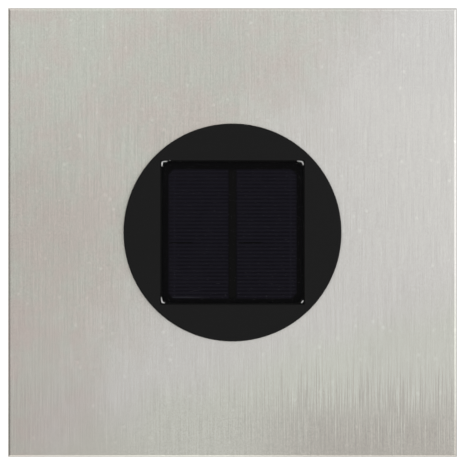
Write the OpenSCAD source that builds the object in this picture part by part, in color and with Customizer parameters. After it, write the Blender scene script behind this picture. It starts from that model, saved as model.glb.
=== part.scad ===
// Solar path light: a square steel hat with a round solar module that lifts out, an opal
// diffuser below it, and a square steel post on a base plate.
// Millimetres, +Z up. The origin is the middle of the base plate's underside.

/* [Hat] */
// Width of the square hat
hat_w = 175; // [150:1:220]
// Height of the hat from its rim to its top face
hat_h = 25; // [16:1:40]
// Thickness of the hat's sheet
hat_t = 0.8; // [0.6:0.1:1.5]
// Outer radius of the hat's folds
fold_r = 1; // [0.6:0.1:2]

/* [Solar panel] */
// Width of the square solar panel
panel_w = 55; // [50:0.5:60]
// Corner radius of the solar panel
panel_corner_r = 3; // [1:0.5:6]
// Thickness of the panel's board
panel_board_t = 1.2; // [0.8:0.1:1.6]
// Thickness of the clear resin over the board
resin_t = 0.8; // [0.5:0.1:1.2]
// Thickness of a solar cell
cell_sheet_t = 0.2; // [0.1:0.05:0.3]
// Bare border of the panel at its left and right
side_border = 2.5; // [1:0.1:5]
// Bare border of the panel at its top edge
top_border = 2.85; // [1:0.05:5]
// Bare border of the panel at its bottom edge
bottom_border = 1.65; // [1:0.05:5]
// Gap between the two columns of cells
column_gap = 3; // [1:0.1:6]
// Gap between the two cells of a column
row_gap = 0.15; // [0.1:0.05:1]

/* [Solar module] */
// Thickness of the module's flange
flange_t = 4; // [3.4:0.1:6]
// Radius of the flange's top edge
flange_edge_r = 0.5; // [0.2:0.1:1.5]
// Material between the pocket's corner and the flange's edge
flange_margin = 2.7; // [1.5:0.1:6]
// Thickness of the pocket's floor
pocket_floor_t = 0.9; // [0.7:0.1:1.3]
// Diameter of the barrel that goes down through the hat
barrel_d = 77.4; // [74:0.1:80]
// Length of the barrel below the flange
barrel_l = 28; // [27:0.5:36]
// Wall of the barrel
barrel_wall = 2; // [1.4:0.1:2.2]
// Height of the ribs under the pocket's floor
rib_h = 3; // [1.5:0.5:4]
// Thickness of the ribs under the pocket's floor
rib_t = 1.2; // [0.8:0.1:2]
// Distance of each rib from the middle
rib_offset = 13; // [11:0.5:20]
// Radius of the three bosses that take the module's screws
boss_r = 3; // [2.6:0.1:3.4]
// Thickness of the module's base plate
module_base_t = 3.5; // [3.2:0.1:5]
// Wall of the spigot that centres the base in the barrel
spigot_wall = 1.2; // [1:0.1:2]
// Height of the spigot
spigot_h = 3; // [1.5:0.1:3.4]
// Wall of the battery bay
bay_wall = 1.2; // [1:0.1:1.5]
// Radius of the holes that the panel's leads come through
lead_hole_r = 1.4; // [0.8:0.1:2]
// Distance of those holes from the middle, to the left and right
lead_hole_x = 2.5; // [2:0.1:5]
// Distance of those holes in front of the middle
lead_hole_y = 10; // [8:0.5:12]
// Thickness of the flat ring under the flange
gasket_t = 0.8; // [0.5:0.1:1.5]
// Thickness of the flat ring between barrel and base
module_seal_t = 0.6; // [0.4:0.1:1]

/* [Battery] */
// Diameter of the battery
battery_d = 14.5; // [10.5:0.1:14.5]
// Length of the battery with its terminal
battery_l = 50.5; // [44.5:0.1:50.5]
// Distance of the battery's axis behind the middle
battery_y = 4.25; // [3.5:0.25:4.75]
// Radius of the battery's terminal
terminal_r = 2.75; // [1.9:0.05:2.75]
// Height of the battery's terminal
terminal_h = 1.5; // [1:0.1:1.8]
// Thickness of the contact plates
contact_t = 0.5; // [0.3:0.1:0.8]
// Width of the contact plates
contact_w = 10; // [8:0.5:12]
// Width of the tags that the battery's leads are soldered to
tag_w = 3; // [2:0.5:5]
// Length of the tags above the bay's roof
tag_out = 1.5; // [1:0.1:3]
// Length of the contact spring as it is held by the battery
spring_l = 5; // [4.8:0.1:6]
// Radius of the contact spring at the middle of its wire
spring_r = 3; // [2.4:0.1:4]
// Radius of the spring's wire
spring_wire_r = 0.35; // [0.25:0.05:0.35]
// Turns of the contact spring
spring_turns = 3; // [2:1:3]
// Thickness of the battery cover
cover_t = 1.6; // [1.4:0.1:2]
// Width of the ledge that the battery cover laps
cover_lap = 2.6; // [2.2:0.1:3]
// Thickness of the cover's seal
cover_seal_t = 0.5; // [0.3:0.1:0.8]
// Radius of the cover's ears round its screws
cover_ear_r = 4; // [3.4:0.1:4.4]
// Depth that the cover's screws go in above the base
cover_boss_h = 3.2; // [2:0.1:3.4]

/* [Light] */
// Distance of the lens in front of the middle
lens_y = 20.5; // [20:0.25:21.5]
// Radius of the hole that the lens shows through
lens_hole_r = 8; // [7.4:0.1:8.6]
// Thickness of the lens
lens_t = 1.2; // [0.8:0.1:1.4]
// Radius of the lens's dome
lens_dome_r = 9.5; // [9:0.1:12]
// Width of the lens's flange past the hole
lens_flange_w = 1.6; // [1:0.1:2]
// Radius of an LED's body
led_r = 2.5; // [1.5:0.1:2.5]
// Length of an LED below its board
led_l = 8.6; // [6:0.1:8.8]
// Distance between the two LEDs
led_spacing = 6.2; // [6:0.1:6.6]
// Width of the circuit board
circuit_w = 36; // [34:0.5:39]
// Depth of the circuit board
circuit_depth = 18; // [17:0.5:19]
// Thickness of the circuit board
circuit_t = 1.6; // [1:0.2:1.6]
// Height of the circuit board above the base
circuit_gap = 3.8; // [3.6:0.1:5]
// Gap between the battery bay and the circuit board
circuit_bay_gap = 3; // [2.5:0.1:3.4]
// Distance of the board's screws from its left and right edges
board_screw_inset = 3.5; // [3:0.1:4.5]
// Radius of the posts that carry the circuit board
standoff_r = 2.4; // [2:0.1:2.6]

/* [Switch] */
// Distance of the switch to the right of the middle
switch_x = 13; // [12:0.25:14]
// Distance of the switch's body in front of the circuit board's rear edge
switch_inset = 1; // [0.75:0.25:1.5]
// Travel of the switch's knob
switch_travel = 3; // [2:0.5:3.5]
// Height of the switch's body
switch_h = 3.5; // [3.2:0.1:3.6]
// Wall of the switch's body
switch_wall = 0.7; // [0.5:0.1:1]
// Width of the knob along its travel
knob_w = 2.6; // [2:0.1:3]
// Depth of the knob across its travel
knob_depth = 2; // [1.5:0.1:2.4]
// Length of the knob that stands out below the base
knob_out = 1; // [0.5:0.1:2]

/* [Diffuser] */
// Height of the diffuser
diffuser_h = 85; // [75:1:140]
// Wall of the diffuser
diffuser_wall = 3; // [2:0.5:4]
// Outer corner radius of the diffuser
diffuser_corner_r = 6; // [4.5:0.5:10]
// Thickness of the flat seals at the diffuser's ends
end_seal_t = 1.5; // [0.8:0.1:3]

/* [Carrier] */
// Distance that the carrier stands out past the post
carrier_overhang = 15; // [14:0.5:25]
// Thickness of the carrier's plate
carrier_t = 2; // [1.5:0.1:4]
// Step from the carrier's edge to the diffuser
carrier_step = 3; // [1:0.5:5]
// Height of the collar that enters the post
collar_h = 20; // [16:1:40]
// Wall of the collar
collar_wall = 1.5; // [1:0.1:3]
// Distance of the studs from the diffuser's inner faces
stud_inset = 4.5; // [4:0.1:5]

/* [Post] */
// Width of the square post
post_w = 80; // [70:1:100]
// Length of the post
post_l = 400; // [200:5:800]
// Wall of the post
post_wall = 1.5; // [1:0.1:3]
// Outer corner radius of the post
post_corner_r = 3; // [1.5:0.5:6]

/* [Base] */
// Width of the square base plate
base_w = 140; // [130:1:170]
// Thickness of the base plate
base_t = 4; // [3:0.5:8]
// Corner radius of the base plate
base_corner_r = 6; // [2:1:12]
// Distance between the bolt holes
bolt_spacing = 112; // [106:1:116]
// Diameter of the bolt holes
bolt_hole_d = 7; // [5:0.5:9]
// Diameter of the drain hole in the middle
drain_d = 24; // [10:1:50]
// Height of the socket that the post slides over
socket_h = 40; // [30:1:80]
// Wall of the socket
socket_wall = 2; // [1.5:0.1:4]

/* [Fasteners] */
// Radius of the studs
stud_r = 2; // [1.5:0.5:2.5]
// Width of the dome nuts across their flats
nut_flats = 7; // [7:0.5:8]
// Height of a dome nut's hexagon
nut_h = 3.2; // [2.4:0.1:5]
// Radius of the washers
washer_r = 4.5; // [4.2:0.1:5]
// Thickness of the washers
washer_t = 0.8; // [0.5:0.1:1.2]
// Radius of the screws in the post
post_screw_r = 2.5; // [1.5:0.5:3]
// Length of the screws in the post
post_screw_l = 8; // [6:0.5:12]
// Distance of the screws from the post's two ends
post_screw_z = 10; // [8:0.5:12]
// Length of the module's screws
module_screw_l = 9; // [7:0.5:12]
// Radius of the module's screws
module_screw_r = 1.4; // [1.1:0.1:1.5]
// Radius of the battery cover's screws
cover_screw_r = 1.15; // [0.9:0.05:1.25]
// Radius of the circuit board's screws
board_screw_r = 0.95; // [0.75:0.05:1]

/* [Clearances] */
// Radial gap between the barrel and the hat's hole
barrel_clear = 0.6; // [0.3:0.05:1.5]
// Gap round the solar panel in its pocket
panel_gap = 0.55; // [0.3:0.05:1]
// Gap between the post and what goes inside it
post_fit = 0.3; // [0.1:0.05:0.6]
// Gap round the battery in its bay
battery_clear = 0.5; // [0.3:0.05:0.8]
// Gap at each end of the battery
battery_end_clear = 0.2; // [0.1:0.05:0.5]
// Gap round a piece that slides or drops into a recess
part_gap = 0.3; // [0.2:0.05:0.4]
// Radial gap of a screw in its thread
thread_gap = 0.05; // [0.02:0.01:0.1]
// Radial gap of a screw in a plain hole
hole_gap = 0.2; // [0.1:0.05:0.3]
// Gap between the sealant and the panel's rounded corners
sealant_gap = 0.02; // [0.01:0.01:0.1]

/* [Hidden] */
$fn = 64;
// Extra length of a cutting shape past the face that it cuts
cut = 1;

// Levels, from the ground up
post_top = base_t + post_l;
carrier_top = post_top + carrier_t;
diffuser_bottom = carrier_top + end_seal_t;
diffuser_top = diffuser_bottom + diffuser_h;
hat_under = diffuser_top + end_seal_t;
hat_top = hat_under + hat_t;
flange_under = hat_top + gasket_t;
pocket_floor = flange_under + pocket_floor_t;
barrel_bottom = flange_under - barrel_l;
base_face = barrel_bottom - module_seal_t;
module_bottom = base_face - module_base_t;
circuit_under = base_face + circuit_gap;
circuit_top = circuit_under + circuit_t;

// Widths of the head and the post
carrier_w = post_w + 2 * carrier_overhang;
diffuser_w = carrier_w - 2 * carrier_step;
diffuser_in_w = diffuser_w - 2 * diffuser_wall;
stud_xy = diffuser_in_w / 2 - stud_inset;
stud_into_dome = 1;
post_in_w = post_w - 2 * post_wall;
post_in_r = max(post_corner_r - post_wall, 0.2);
insert_w = post_in_w - 2 * post_fit;
insert_corner_ease = 1;
insert_r = post_in_r + insert_corner_ease;

// Solar panel and its pocket
pocket_w = panel_w + 2 * panel_gap;
field_w = panel_w - 2 * side_border;
field_h = panel_w - top_border - bottom_border;
field_y = (bottom_border - top_border) / 2;
cell_w = (field_w - column_gap) / 2;
cell_h = (field_h - row_gap) / 2;

// Barrel, flange and bosses
barrel_r = barrel_d / 2;
bore_r = barrel_r - barrel_wall;
hat_hole_r = barrel_r + barrel_clear;
flange_seat = 3;
flange_r = max(pocket_w / sqrt(2) + flange_margin, hat_hole_r + flange_seat);
gasket_step = 0.7;
gasket_out_r = flange_r - gasket_step;
boss_bite = 0.6;
boss_ring_r = bore_r - boss_r + boss_bite;
boss_angles = [90, 210, 330];
boss_places = [for (a = boss_angles) boss_ring_r * [cos(a), sin(a)]];

// Battery bay, cover and contacts
bay_l = battery_l + 2 * battery_end_clear + 2 * contact_t + spring_l;
bay_w = battery_d + 2 * battery_clear;
battery_z = module_bottom + cover_t + part_gap + battery_d / 2;
bay_ceiling = battery_z + battery_d / 2 + battery_clear;
bay_roof = bay_ceiling + bay_wall;
battery_end_x = bay_l / 2 - contact_t - battery_end_clear;
cover_boss_wall = 1.05;
cover_boss_r = cover_screw_r + cover_boss_wall;
cover_boss_bite = 0.4;
cover_screw_y = bay_w / 2 + bay_wall + cover_boss_r - cover_boss_bite;
cover_head_h = 1.2;
cover_corner_r = 1.5;
recess_h = cover_t + cover_seal_t;
tag_top = bay_roof + tag_out;
lead_hole_places = [for (x = [-1, 1]) [x * lead_hole_x, -lead_hole_y]];

// Circuit board: its rear edge lies behind the lens and in front of the bay
circuit_rear_y = battery_y - bay_w / 2 - bay_wall - circuit_bay_gap;
circuit_y = circuit_rear_y - circuit_depth / 2;
board_screw_ahead = 1.5;
board_screw_y = -lens_y - board_screw_ahead;
board_screw_places = [for (x = [-1, 1]) [x * (circuit_w / 2 - board_screw_inset), board_screw_y]];

// Switch: a knob on a wider foot that slides in the body
foot_lap = 0.5;
foot_w = knob_w + 2 * foot_lap;
foot_depth = knob_depth + 2 * foot_lap;
foot_h = 1;
foot_room_w = foot_w + switch_travel + 2 * part_gap;
foot_room_depth = foot_depth + 2 * part_gap;
foot_room_h = foot_h + 2 * part_gap;
knob_slot_w = knob_w + switch_travel + 2 * part_gap;
knob_slot_depth = knob_depth + 2 * part_gap;
switch_w = foot_room_w + 2 * switch_wall;
switch_depth = foot_room_depth + 2 * switch_wall;
switch_floor = 0.6;
switch_bottom = circuit_under - switch_h;
switch_y = circuit_rear_y - switch_inset - switch_depth / 2;

// Lens
lens_out_r = lens_hole_r - hole_gap;
lens_in_r = lens_out_r - lens_t;

// Pan heads, as multiples of the shank's radius, and how deep the module's are sunk
pan_head_r = 1.9;
pan_head_h = 1.2;
head_sunk = 0.2;
module_head_r = pan_head_r * module_screw_r;
module_head_room = pan_head_h * module_screw_r + head_sunk;

// Shared outlines

// Rectangle with round corners, centred
module round_rectangle(w, h, r) {
    square([w - 2 * r, h], center = true);
    square([w, h - 2 * r], center = true);
    for (x = [-1, 1], y = [-1, 1])
        translate([x * (w / 2 - r), y * (h / 2 - r)])
            circle(r);
}

// Square tube with round corners that stands on the level z
module square_tube(w, wall, r, z, h) {
    translate([0, 0, z])
        linear_extrude(h)
            difference() {
                round_rectangle(w, w, r);
                round_rectangle(w - 2 * wall, w - 2 * wall, max(r - wall, 0.2));
            }
}

// Flat ring round the Z axis
module ring(r_out, r_in, z, h) {
    translate([0, 0, z])
        difference() {
            cylinder(h, r = r_out);
            translate([0, 0, -cut]) cylinder(h + 2 * cut, r = r_in);
        }
}

// Upright outline whose two top corners are folded to the radius r
module fold_outline(w, h, r) {
    translate([-w / 2, 0]) square([w, h - r]);
    translate([r - w / 2, 0]) square([w - 2 * r, h]);
    for (x = [-1, 1])
        translate([x * (w / 2 - r), h - r])
            circle(r);
}

// Square block with four folded top edges that meet in mitres
module folded_block(w, h, r) {
    intersection() {
        rotate([90, 0, 0]) linear_extrude(w, center = true) fold_outline(w, h, r);
        rotate([90, 0, 90]) linear_extrude(w, center = true) fold_outline(w, h, r);
    }
}

// Places its children on the four faces of the post, turned outwards, at the height z
module on_post_faces(z) {
    for (a = [0 : 90 : 270])
        rotate([0, 0, a])
            translate([post_w / 2, 0, z])
                rotate([0, 90, 0])
                    children();
}

// Places its children at the four studs
module at_studs() {
    for (x = [-1, 1], y = [-1, 1])
        translate([x * stud_xy, y * stud_xy])
            children();
}

// Places its children at each of a list of places in plan
module at_places(places) {
    for (p = places)
        translate([p[0], p[1]])
            children();
}

// Domed screw head that sits on the level 0
module domed_head(r, h) {
    crown = h / 2;
    crown_r = (r * r + crown * crown) / (2 * crown);
    rotate_extrude()
        intersection() {
            square([r, h]);
            translate([0, h - crown_r]) circle(crown_r, $fn = 128);
        }
}

// Button-head screw with a hexagon socket, head above the level 0 and shank below it
module button_screw(shank_r, shank_l) {
    head_r = 1.8 * shank_r;
    head_h = shank_r;
    key_r = 0.65 * shank_r;
    key_floor = 0.35 * head_h;
    difference() {
        domed_head(head_r, head_h);
        translate([0, 0, key_floor]) cylinder(head_h, r = key_r, $fn = 6);
    }
    translate([0, 0, -shank_l]) cylinder(shank_l, r = shank_r);
}

// Pan-head screw with a cross recess, head above the level 0 and shank below it
module pan_screw(shank_r, shank_l) {
    head_r = pan_head_r * shank_r;
    head_h = pan_head_h * shank_r;
    recess_w = 0.45 * shank_r;
    difference() {
        domed_head(head_r, head_h);
        for (a = [0, 90])
            rotate([0, 0, a])
                translate([0, 0, head_h])
                    cube([head_r, recess_w, head_h], center = true);
    }
    translate([0, 0, -shank_l]) cylinder(shank_l, r = shank_r);
}

function unit(v) = v / norm(v);
function tangent(path, i) = unit(path[min(i + 1, len(path) - 1)] - path[max(i - 1, 0)]);
function bezier(p, t) = pow(1 - t, 3) * p[0] + 3 * pow(1 - t, 2) * t * p[1]
    + 3 * (1 - t) * t * t * p[2] + pow(t, 3) * p[3];

// Closed tube of radius r along a path; normals holds a direction across the path at each point
module wire(path, normals, r, sides) {
    last = len(path) - 1;
    points = [
        for (i = [0 : last])
            let (t = tangent(path, i), u = unit(cross(normals[i], t)), v = cross(t, u))
                for (k = [0 : sides - 1])
                    path[i] + r * (cos(360 * k / sides) * u + sin(360 * k / sides) * v)
    ];
    walls = [
        for (i = [0 : last - 1], k = [0 : sides - 1])
            let (a = i * sides + k, b = i * sides + (k + 1) % sides)
                for (f = [[a, a + sides, b], [b, a + sides, b + sides]])
                    f
    ];
    ends = [
        [for (k = [0 : sides - 1]) k],
        [for (k = [sides - 1 : -1 : 0]) last * sides + k]
    ];
    polyhedron(points, concat(walls, ends));
}

// Insulated lead from one point to another, both ends upright: rise_a and rise_b are the
// handles of its curve, positive upwards
module lead(a, b, rise_a, rise_b) {
    lead_r = 0.6;
    steps = 14;
    start = a + [0, 0, lead_r * sign(rise_a)];
    end = b + [0, 0, lead_r * sign(rise_b)];
    curve = [start, start + [0, 0, rise_a], end + [0, 0, rise_b], end];
    path = concat([a], [for (i = [0 : steps]) bezier(curve, i / steps)], [b]);
    across = unit(cross(b - a, [0, 0, 1]));
    wire(path, [for (p = path) across], lead_r, 8);
}

// Head

module hat() {
    color("silver")
        translate([0, 0, hat_top - hat_h])
            difference() {
                folded_block(hat_w, hat_h, fold_r);
                translate([0, 0, -cut])
                    folded_block(hat_w - 2 * hat_t, hat_h - hat_t + cut, max(fold_r - hat_t, 0.1));
                cylinder(hat_h + cut, r = hat_hole_r);
            }
}

// Weld studs, each with its wider weld foot against the hat
module hat_studs() {
    weld_h = 0.8;
    weld_r = stud_r + 0.8;
    end = post_top - washer_t - nut_h - stud_into_dome;
    color("silver")
        at_studs() {
            translate([0, 0, hat_under - weld_h]) cylinder(weld_h, r = weld_r);
            translate([0, 0, end]) cylinder(hat_under - weld_h / 2 - end, r = stud_r);
        }
}

module stud_washers() {
    color("silver")
        at_studs()
            ring(washer_r, stud_r + hole_gap, post_top - washer_t, washer_t);
}

module stud_nuts() {
    dome_inset = 0.3;
    tip_room = 0.3;
    dome_r = nut_flats / 2 - dome_inset;
    bore_depth = nut_h + stud_into_dome + tip_room;
    color("silver")
        at_studs()
            translate([0, 0, post_top - washer_t])
                mirror([0, 0, 1])
                    difference() {
                        union() {
                            cylinder(nut_h, r = nut_flats / 2 / cos(30), $fn = 6);
                            translate([0, 0, nut_h])
                                intersection() {
                                    sphere(dome_r);
                                    cylinder(dome_r, r = dome_r);
                                }
                        }
                        translate([0, 0, -cut]) cylinder(bore_depth + cut, r = stud_r + thread_gap);
                    }
}

module end_seal(z) {
    color("dimgray")
        square_tube(diffuser_w, diffuser_wall, diffuser_corner_r, z, end_seal_t);
}

module upper_gasket() {
    end_seal(diffuser_top);
}

module lower_gasket() {
    end_seal(carrier_top);
}

module diffuser() {
    color("white")
        square_tube(diffuser_w, diffuser_wall, diffuser_corner_r, diffuser_bottom, diffuser_h);
}

module carrier() {
    color("silver")
        difference() {
            union() {
                translate([0, 0, post_top])
                    linear_extrude(carrier_t)
                        round_rectangle(carrier_w, carrier_w, diffuser_corner_r + carrier_step);
                square_tube(insert_w, collar_wall, insert_r, post_top - collar_h, collar_h);
            }
            at_studs()
                translate([0, 0, post_top - cut])
                    cylinder(carrier_t + 2 * cut, r = stud_r + hole_gap);
            on_post_faces(post_top - post_screw_z)
                translate([0, 0, -post_wall - post_fit - collar_wall - cut])
                    cylinder(collar_wall + post_fit + cut, r = post_screw_r + thread_gap);
        }
}

module head_screws() {
    color("silver")
        on_post_faces(post_top - post_screw_z)
            button_screw(post_screw_r, post_screw_l);
}

// Post and foot

module post() {
    color("silver")
        difference() {
            square_tube(post_w, post_wall, post_corner_r, base_t, post_l);
            for (z = [base_t + post_screw_z, post_top - post_screw_z])
                on_post_faces(z)
                    translate([0, 0, -post_wall - cut])
                        cylinder(post_wall + 2 * cut, r = post_screw_r + hole_gap);
        }
}

module foot_screws() {
    color("silver")
        on_post_faces(base_t + post_screw_z)
            button_screw(post_screw_r, post_screw_l);
}

module socket() {
    color("silver")
        difference() {
            square_tube(insert_w, socket_wall, insert_r, base_t, socket_h);
            on_post_faces(base_t + post_screw_z)
                translate([0, 0, -post_wall - post_fit - socket_wall - cut])
                    cylinder(socket_wall + post_fit + cut, r = post_screw_r + thread_gap);
        }
}

module base_plate() {
    color("silver")
        linear_extrude(base_t)
            difference() {
                round_rectangle(base_w, base_w, base_corner_r);
                for (x = [-1, 1], y = [-1, 1])
                    translate([x * bolt_spacing / 2, y * bolt_spacing / 2])
                        circle(d = bolt_hole_d);
                circle(d = drain_d);
            }
}

// Solar module, upper shell

// Outline of the flange from its axis outwards, with a round top edge
module flange_outline() {
    square([flange_r - flange_edge_r, flange_t]);
    square([flange_r, flange_t - flange_edge_r]);
    translate([flange_r - flange_edge_r, flange_t - flange_edge_r]) circle(flange_edge_r);
}

module housing_ribs() {
    intersection() {
        translate([0, 0, flange_under - rib_h]) cylinder(rib_h, r = bore_r + barrel_wall / 2);
        for (s = [-1, 1]) {
            translate([s * rib_offset - rib_t / 2, -barrel_r, flange_under - rib_h])
                cube([rib_t, barrel_d, rib_h]);
            translate([-barrel_r, s * rib_offset - rib_t / 2, flange_under - rib_h])
                cube([barrel_d, rib_t, rib_h]);
        }
    }
}

module module_housing() {
    boss_l = flange_under - base_face;
    color([0.12, 0.12, 0.12])
        difference() {
            union() {
                translate([0, 0, flange_under]) rotate_extrude() flange_outline();
                ring(barrel_r, bore_r, barrel_bottom, barrel_l + pocket_floor_t / 2);
                housing_ribs();
                at_places(boss_places)
                    translate([0, 0, base_face]) cylinder(boss_l + pocket_floor_t / 2, r = boss_r);
            }
            translate([-pocket_w / 2, -pocket_w / 2, pocket_floor])
                cube([pocket_w, pocket_w, flange_t]);
            at_places(boss_places)
                translate([0, 0, base_face - cut])
                    cylinder(barrel_l / 2 + cut, r = module_screw_r + thread_gap);
            at_places(lead_hole_places)
                translate([0, 0, flange_under - rib_h]) cylinder(flange_t + rib_h, r = lead_hole_r);
        }
}

module module_gasket() {
    color([0.08, 0.08, 0.08])
        ring(gasket_out_r, barrel_r + part_gap, hat_top, gasket_t);
}

// Solar panel

module panel_board() {
    color([0.05, 0.05, 0.06])
        translate([0, 0, pocket_floor])
            linear_extrude(panel_board_t)
                round_rectangle(panel_w, panel_w, panel_corner_r);
}

module cell_sheets() {
    translate([0, field_y, pocket_floor + panel_board_t])
        for (x = [-1, 1], y = [-1, 1])
            translate([x * (cell_w + column_gap) / 2, y * (cell_h + row_gap) / 2, cell_sheet_t / 2])
                cube([cell_w, cell_h, cell_sheet_t], center = true);
}

module solar_cells() {
    color([0.09, 0.09, 0.14])
        cell_sheets();
}

module panel_resin() {
    color([0.6, 0.65, 0.7, 0.3])
        difference() {
            translate([0, 0, pocket_floor + panel_board_t])
                linear_extrude(resin_t)
                    round_rectangle(panel_w, panel_w, panel_corner_r);
            cell_sheets();
        }
}

module panel_sealant() {
    inner_w = panel_w + 2 * sealant_gap;
    bead_h = panel_board_t + resin_t / 2;
    color([0.8, 0.8, 0.78])
        translate([0, 0, pocket_floor])
            linear_extrude(bead_h)
                difference() {
                    square(pocket_w, center = true);
                    round_rectangle(inner_w, inner_w, panel_corner_r + sealant_gap);
                }
}

// Solar module, base

// Outline of the battery cover, grown by a gap
module cover_outline(grow) {
    translate([0, battery_y]) {
        round_rectangle(
            bay_l + 2 * (cover_lap + grow), bay_w + 2 * (cover_lap + grow), cover_corner_r + grow);
        square([2 * (cover_ear_r + grow), 2 * cover_screw_y], center = true);
        for (y = [-1, 1])
            translate([0, y * cover_screw_y])
                circle(cover_ear_r + grow);
    }
}

module at_cover_screws() {
    at_places([for (y = [-1, 1]) [0, battery_y + y * cover_screw_y]])
        children();
}

module module_base() {
    boss_cap = 0.8;
    color([0.85, 0.85, 0.85])
        difference() {
            union() {
                translate([0, 0, module_bottom]) cylinder(module_base_t, r = barrel_r);
                difference() {
                    ring(bore_r - part_gap, bore_r - part_gap - spigot_wall,
                        base_face - module_base_t / 2, module_base_t / 2 + spigot_h);
                    at_places(boss_places)
                        translate([0, 0, base_face]) cylinder(spigot_h + cut, r = boss_r + part_gap);
                }
                translate([-bay_l / 2 - bay_wall, battery_y - bay_w / 2 - bay_wall, module_bottom])
                    cube([bay_l + 2 * bay_wall, bay_w + 2 * bay_wall, bay_roof - module_bottom]);
                at_cover_screws()
                    translate([0, 0, module_bottom])
                        cylinder(module_base_t + cover_boss_h, r = cover_boss_r);
                at_places(board_screw_places)
                    translate([0, 0, module_bottom])
                        cylinder(circuit_under - module_bottom, r = standoff_r);
            }
            translate([-bay_l / 2, battery_y - bay_w / 2, module_bottom - cut])
                cube([bay_l, bay_w, bay_ceiling - module_bottom + cut]);
            translate([0, 0, module_bottom - cut]) linear_extrude(recess_h + cut) cover_outline(part_gap);
            at_cover_screws()
                translate([0, 0, module_bottom])
                    cylinder(module_base_t + cover_boss_h - boss_cap, r = cover_screw_r + thread_gap);
            translate([0, -lens_y, module_bottom - cut])
                cylinder(module_base_t + 2 * cut, r = lens_hole_r);
            translate([switch_x - knob_slot_w / 2, switch_y - knob_slot_depth / 2, module_bottom - cut])
                cube([knob_slot_w, knob_slot_depth, module_base_t + 2 * cut]);
            at_places(board_screw_places)
                translate([0, 0, base_face]) cylinder(circuit_gap + cut, r = board_screw_r + thread_gap);
            at_places(boss_places) {
                translate([0, 0, module_bottom - cut])
                    cylinder(module_base_t + 2 * cut, r = module_screw_r + hole_gap);
                translate([0, 0, module_bottom - cut])
                    cylinder(module_head_room + cut, r = module_head_r + hole_gap);
            }
            for (x = [-1, 1])
                translate([x * (bay_l / 2 - contact_t / 2), battery_y, bay_ceiling + bay_wall / 2])
                    cube([contact_t + 2 * thread_gap, tag_w + 2 * hole_gap, bay_wall + cut], center = true);
        }
}

module module_seal() {
    edge_step = 0.2;
    color([0.08, 0.08, 0.08])
        ring(barrel_r - edge_step, bore_r + boss_bite + edge_step, base_face, module_seal_t);
}

module module_screws() {
    color("silver")
        at_places(boss_places)
            translate([0, 0, module_bottom + module_head_room])
                mirror([0, 0, 1])
                    pan_screw(module_screw_r, module_screw_l);
}

// Circuit board and light

module circuit_board() {
    color("darkgreen")
        difference() {
            translate([-circuit_w / 2, circuit_y - circuit_depth / 2, circuit_under])
                cube([circuit_w, circuit_depth, circuit_t]);
            at_places(board_screw_places)
                translate([0, 0, circuit_under - cut])
                    cylinder(circuit_t + 2 * cut, r = board_screw_r + hole_gap);
        }
}

module board_screws() {
    thread_end = 0.6;
    color("silver")
        at_places(board_screw_places)
            translate([0, 0, circuit_top])
                pan_screw(board_screw_r, circuit_t + circuit_gap - thread_end);
}

// Driver chip, coil and capacitor, in a row near the board's rear edge
module driver_parts() {
    row_inset = 4.5;
    row_y = circuit_rear_y - row_inset;
    chip = [5, 4, 1.5];
    chip_x = -10;
    coil_r = 2;
    coil_l = 9;
    coil_x = 2;
    capacitor_r = 2.4;
    capacitor_h = 5;
    capacitor_x = 10.5;
    color([0.15, 0.15, 0.16])
        translate([chip_x, row_y, circuit_top + chip[2] / 2])
            cube(chip, center = true);
    color("tan")
        translate([coil_x, row_y, circuit_top + coil_r])
            rotate([0, 90, 0])
                cylinder(coil_l, r = coil_r, center = true);
    color("midnightblue")
        translate([capacitor_x, row_y, circuit_top])
            cylinder(capacitor_h, r = capacitor_r);
}

module leds() {
    rim_h = 1;
    rim_r = led_r + 0.4;
    color("lightyellow")
        for (x = [-1, 1])
            translate([x * led_spacing / 2, -lens_y, circuit_under - led_l])
                union() {
                    translate([0, 0, led_r]) sphere(led_r);
                    translate([0, 0, led_r]) cylinder(led_l - led_r, r = led_r);
                    translate([0, 0, led_l - rim_h]) cylinder(rim_h, r = rim_r);
                }
}

// Height of a dome's centre above the rim of radius r that it ends at
function dome_rise(dome_r, r) = sqrt(pow(dome_r, 2) - pow(r, 2));

// Solid dome below the base's underside, with a cylinder of radius r up to the level z
module lens_block(dome_r, r, z) {
    lap = 0.5;
    translate([0, 0, module_bottom]) cylinder(z - module_bottom, r = r);
    intersection() {
        translate([0, 0, module_bottom + dome_rise(dome_r, r)]) sphere(dome_r);
        translate([0, 0, module_bottom - dome_r]) cylinder(dome_r + lap, r = r);
    }
}

module lens() {
    lens_top = base_face + lens_t;
    color([0.9, 0.95, 1, 0.4])
        translate([0, -lens_y, 0])
            difference() {
                union() {
                    translate([0, 0, base_face]) cylinder(lens_t, r = lens_hole_r + lens_flange_w);
                    lens_block(lens_dome_r, lens_out_r, lens_top);
                }
                lens_block(lens_dome_r - lens_t, lens_in_r, lens_top + cut);
            }
}

// From the panel's underside to pads beside the LEDs
module panel_leads() {
    pad_x = 6;
    pad_ahead = 0.5;
    pad_y = -lens_y - pad_ahead;
    rise = 8;
    color("red")
        for (x = [-1, 1])
            lead([x * lead_hole_x, -lead_hole_y, pocket_floor], [x * pad_x, pad_y, circuit_top],
                -rise, rise);
}

// From the contact plates' tags to pads near the circuit board's ends
module battery_leads() {
    pad_inset = 3;
    pad_ahead = 7;
    pad_x = circuit_w / 2 - pad_inset;
    pad_y = circuit_rear_y - pad_ahead;
    tag_x = bay_l / 2 - contact_t / 2;
    tag_rise = 7;
    pad_rise = 8;
    color("black")
        for (x = [-1, 1])
            lead([x * tag_x, battery_y, tag_top], [x * pad_x, pad_y, circuit_top],
                tag_rise, pad_rise);
}

// Battery and its contacts

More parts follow.
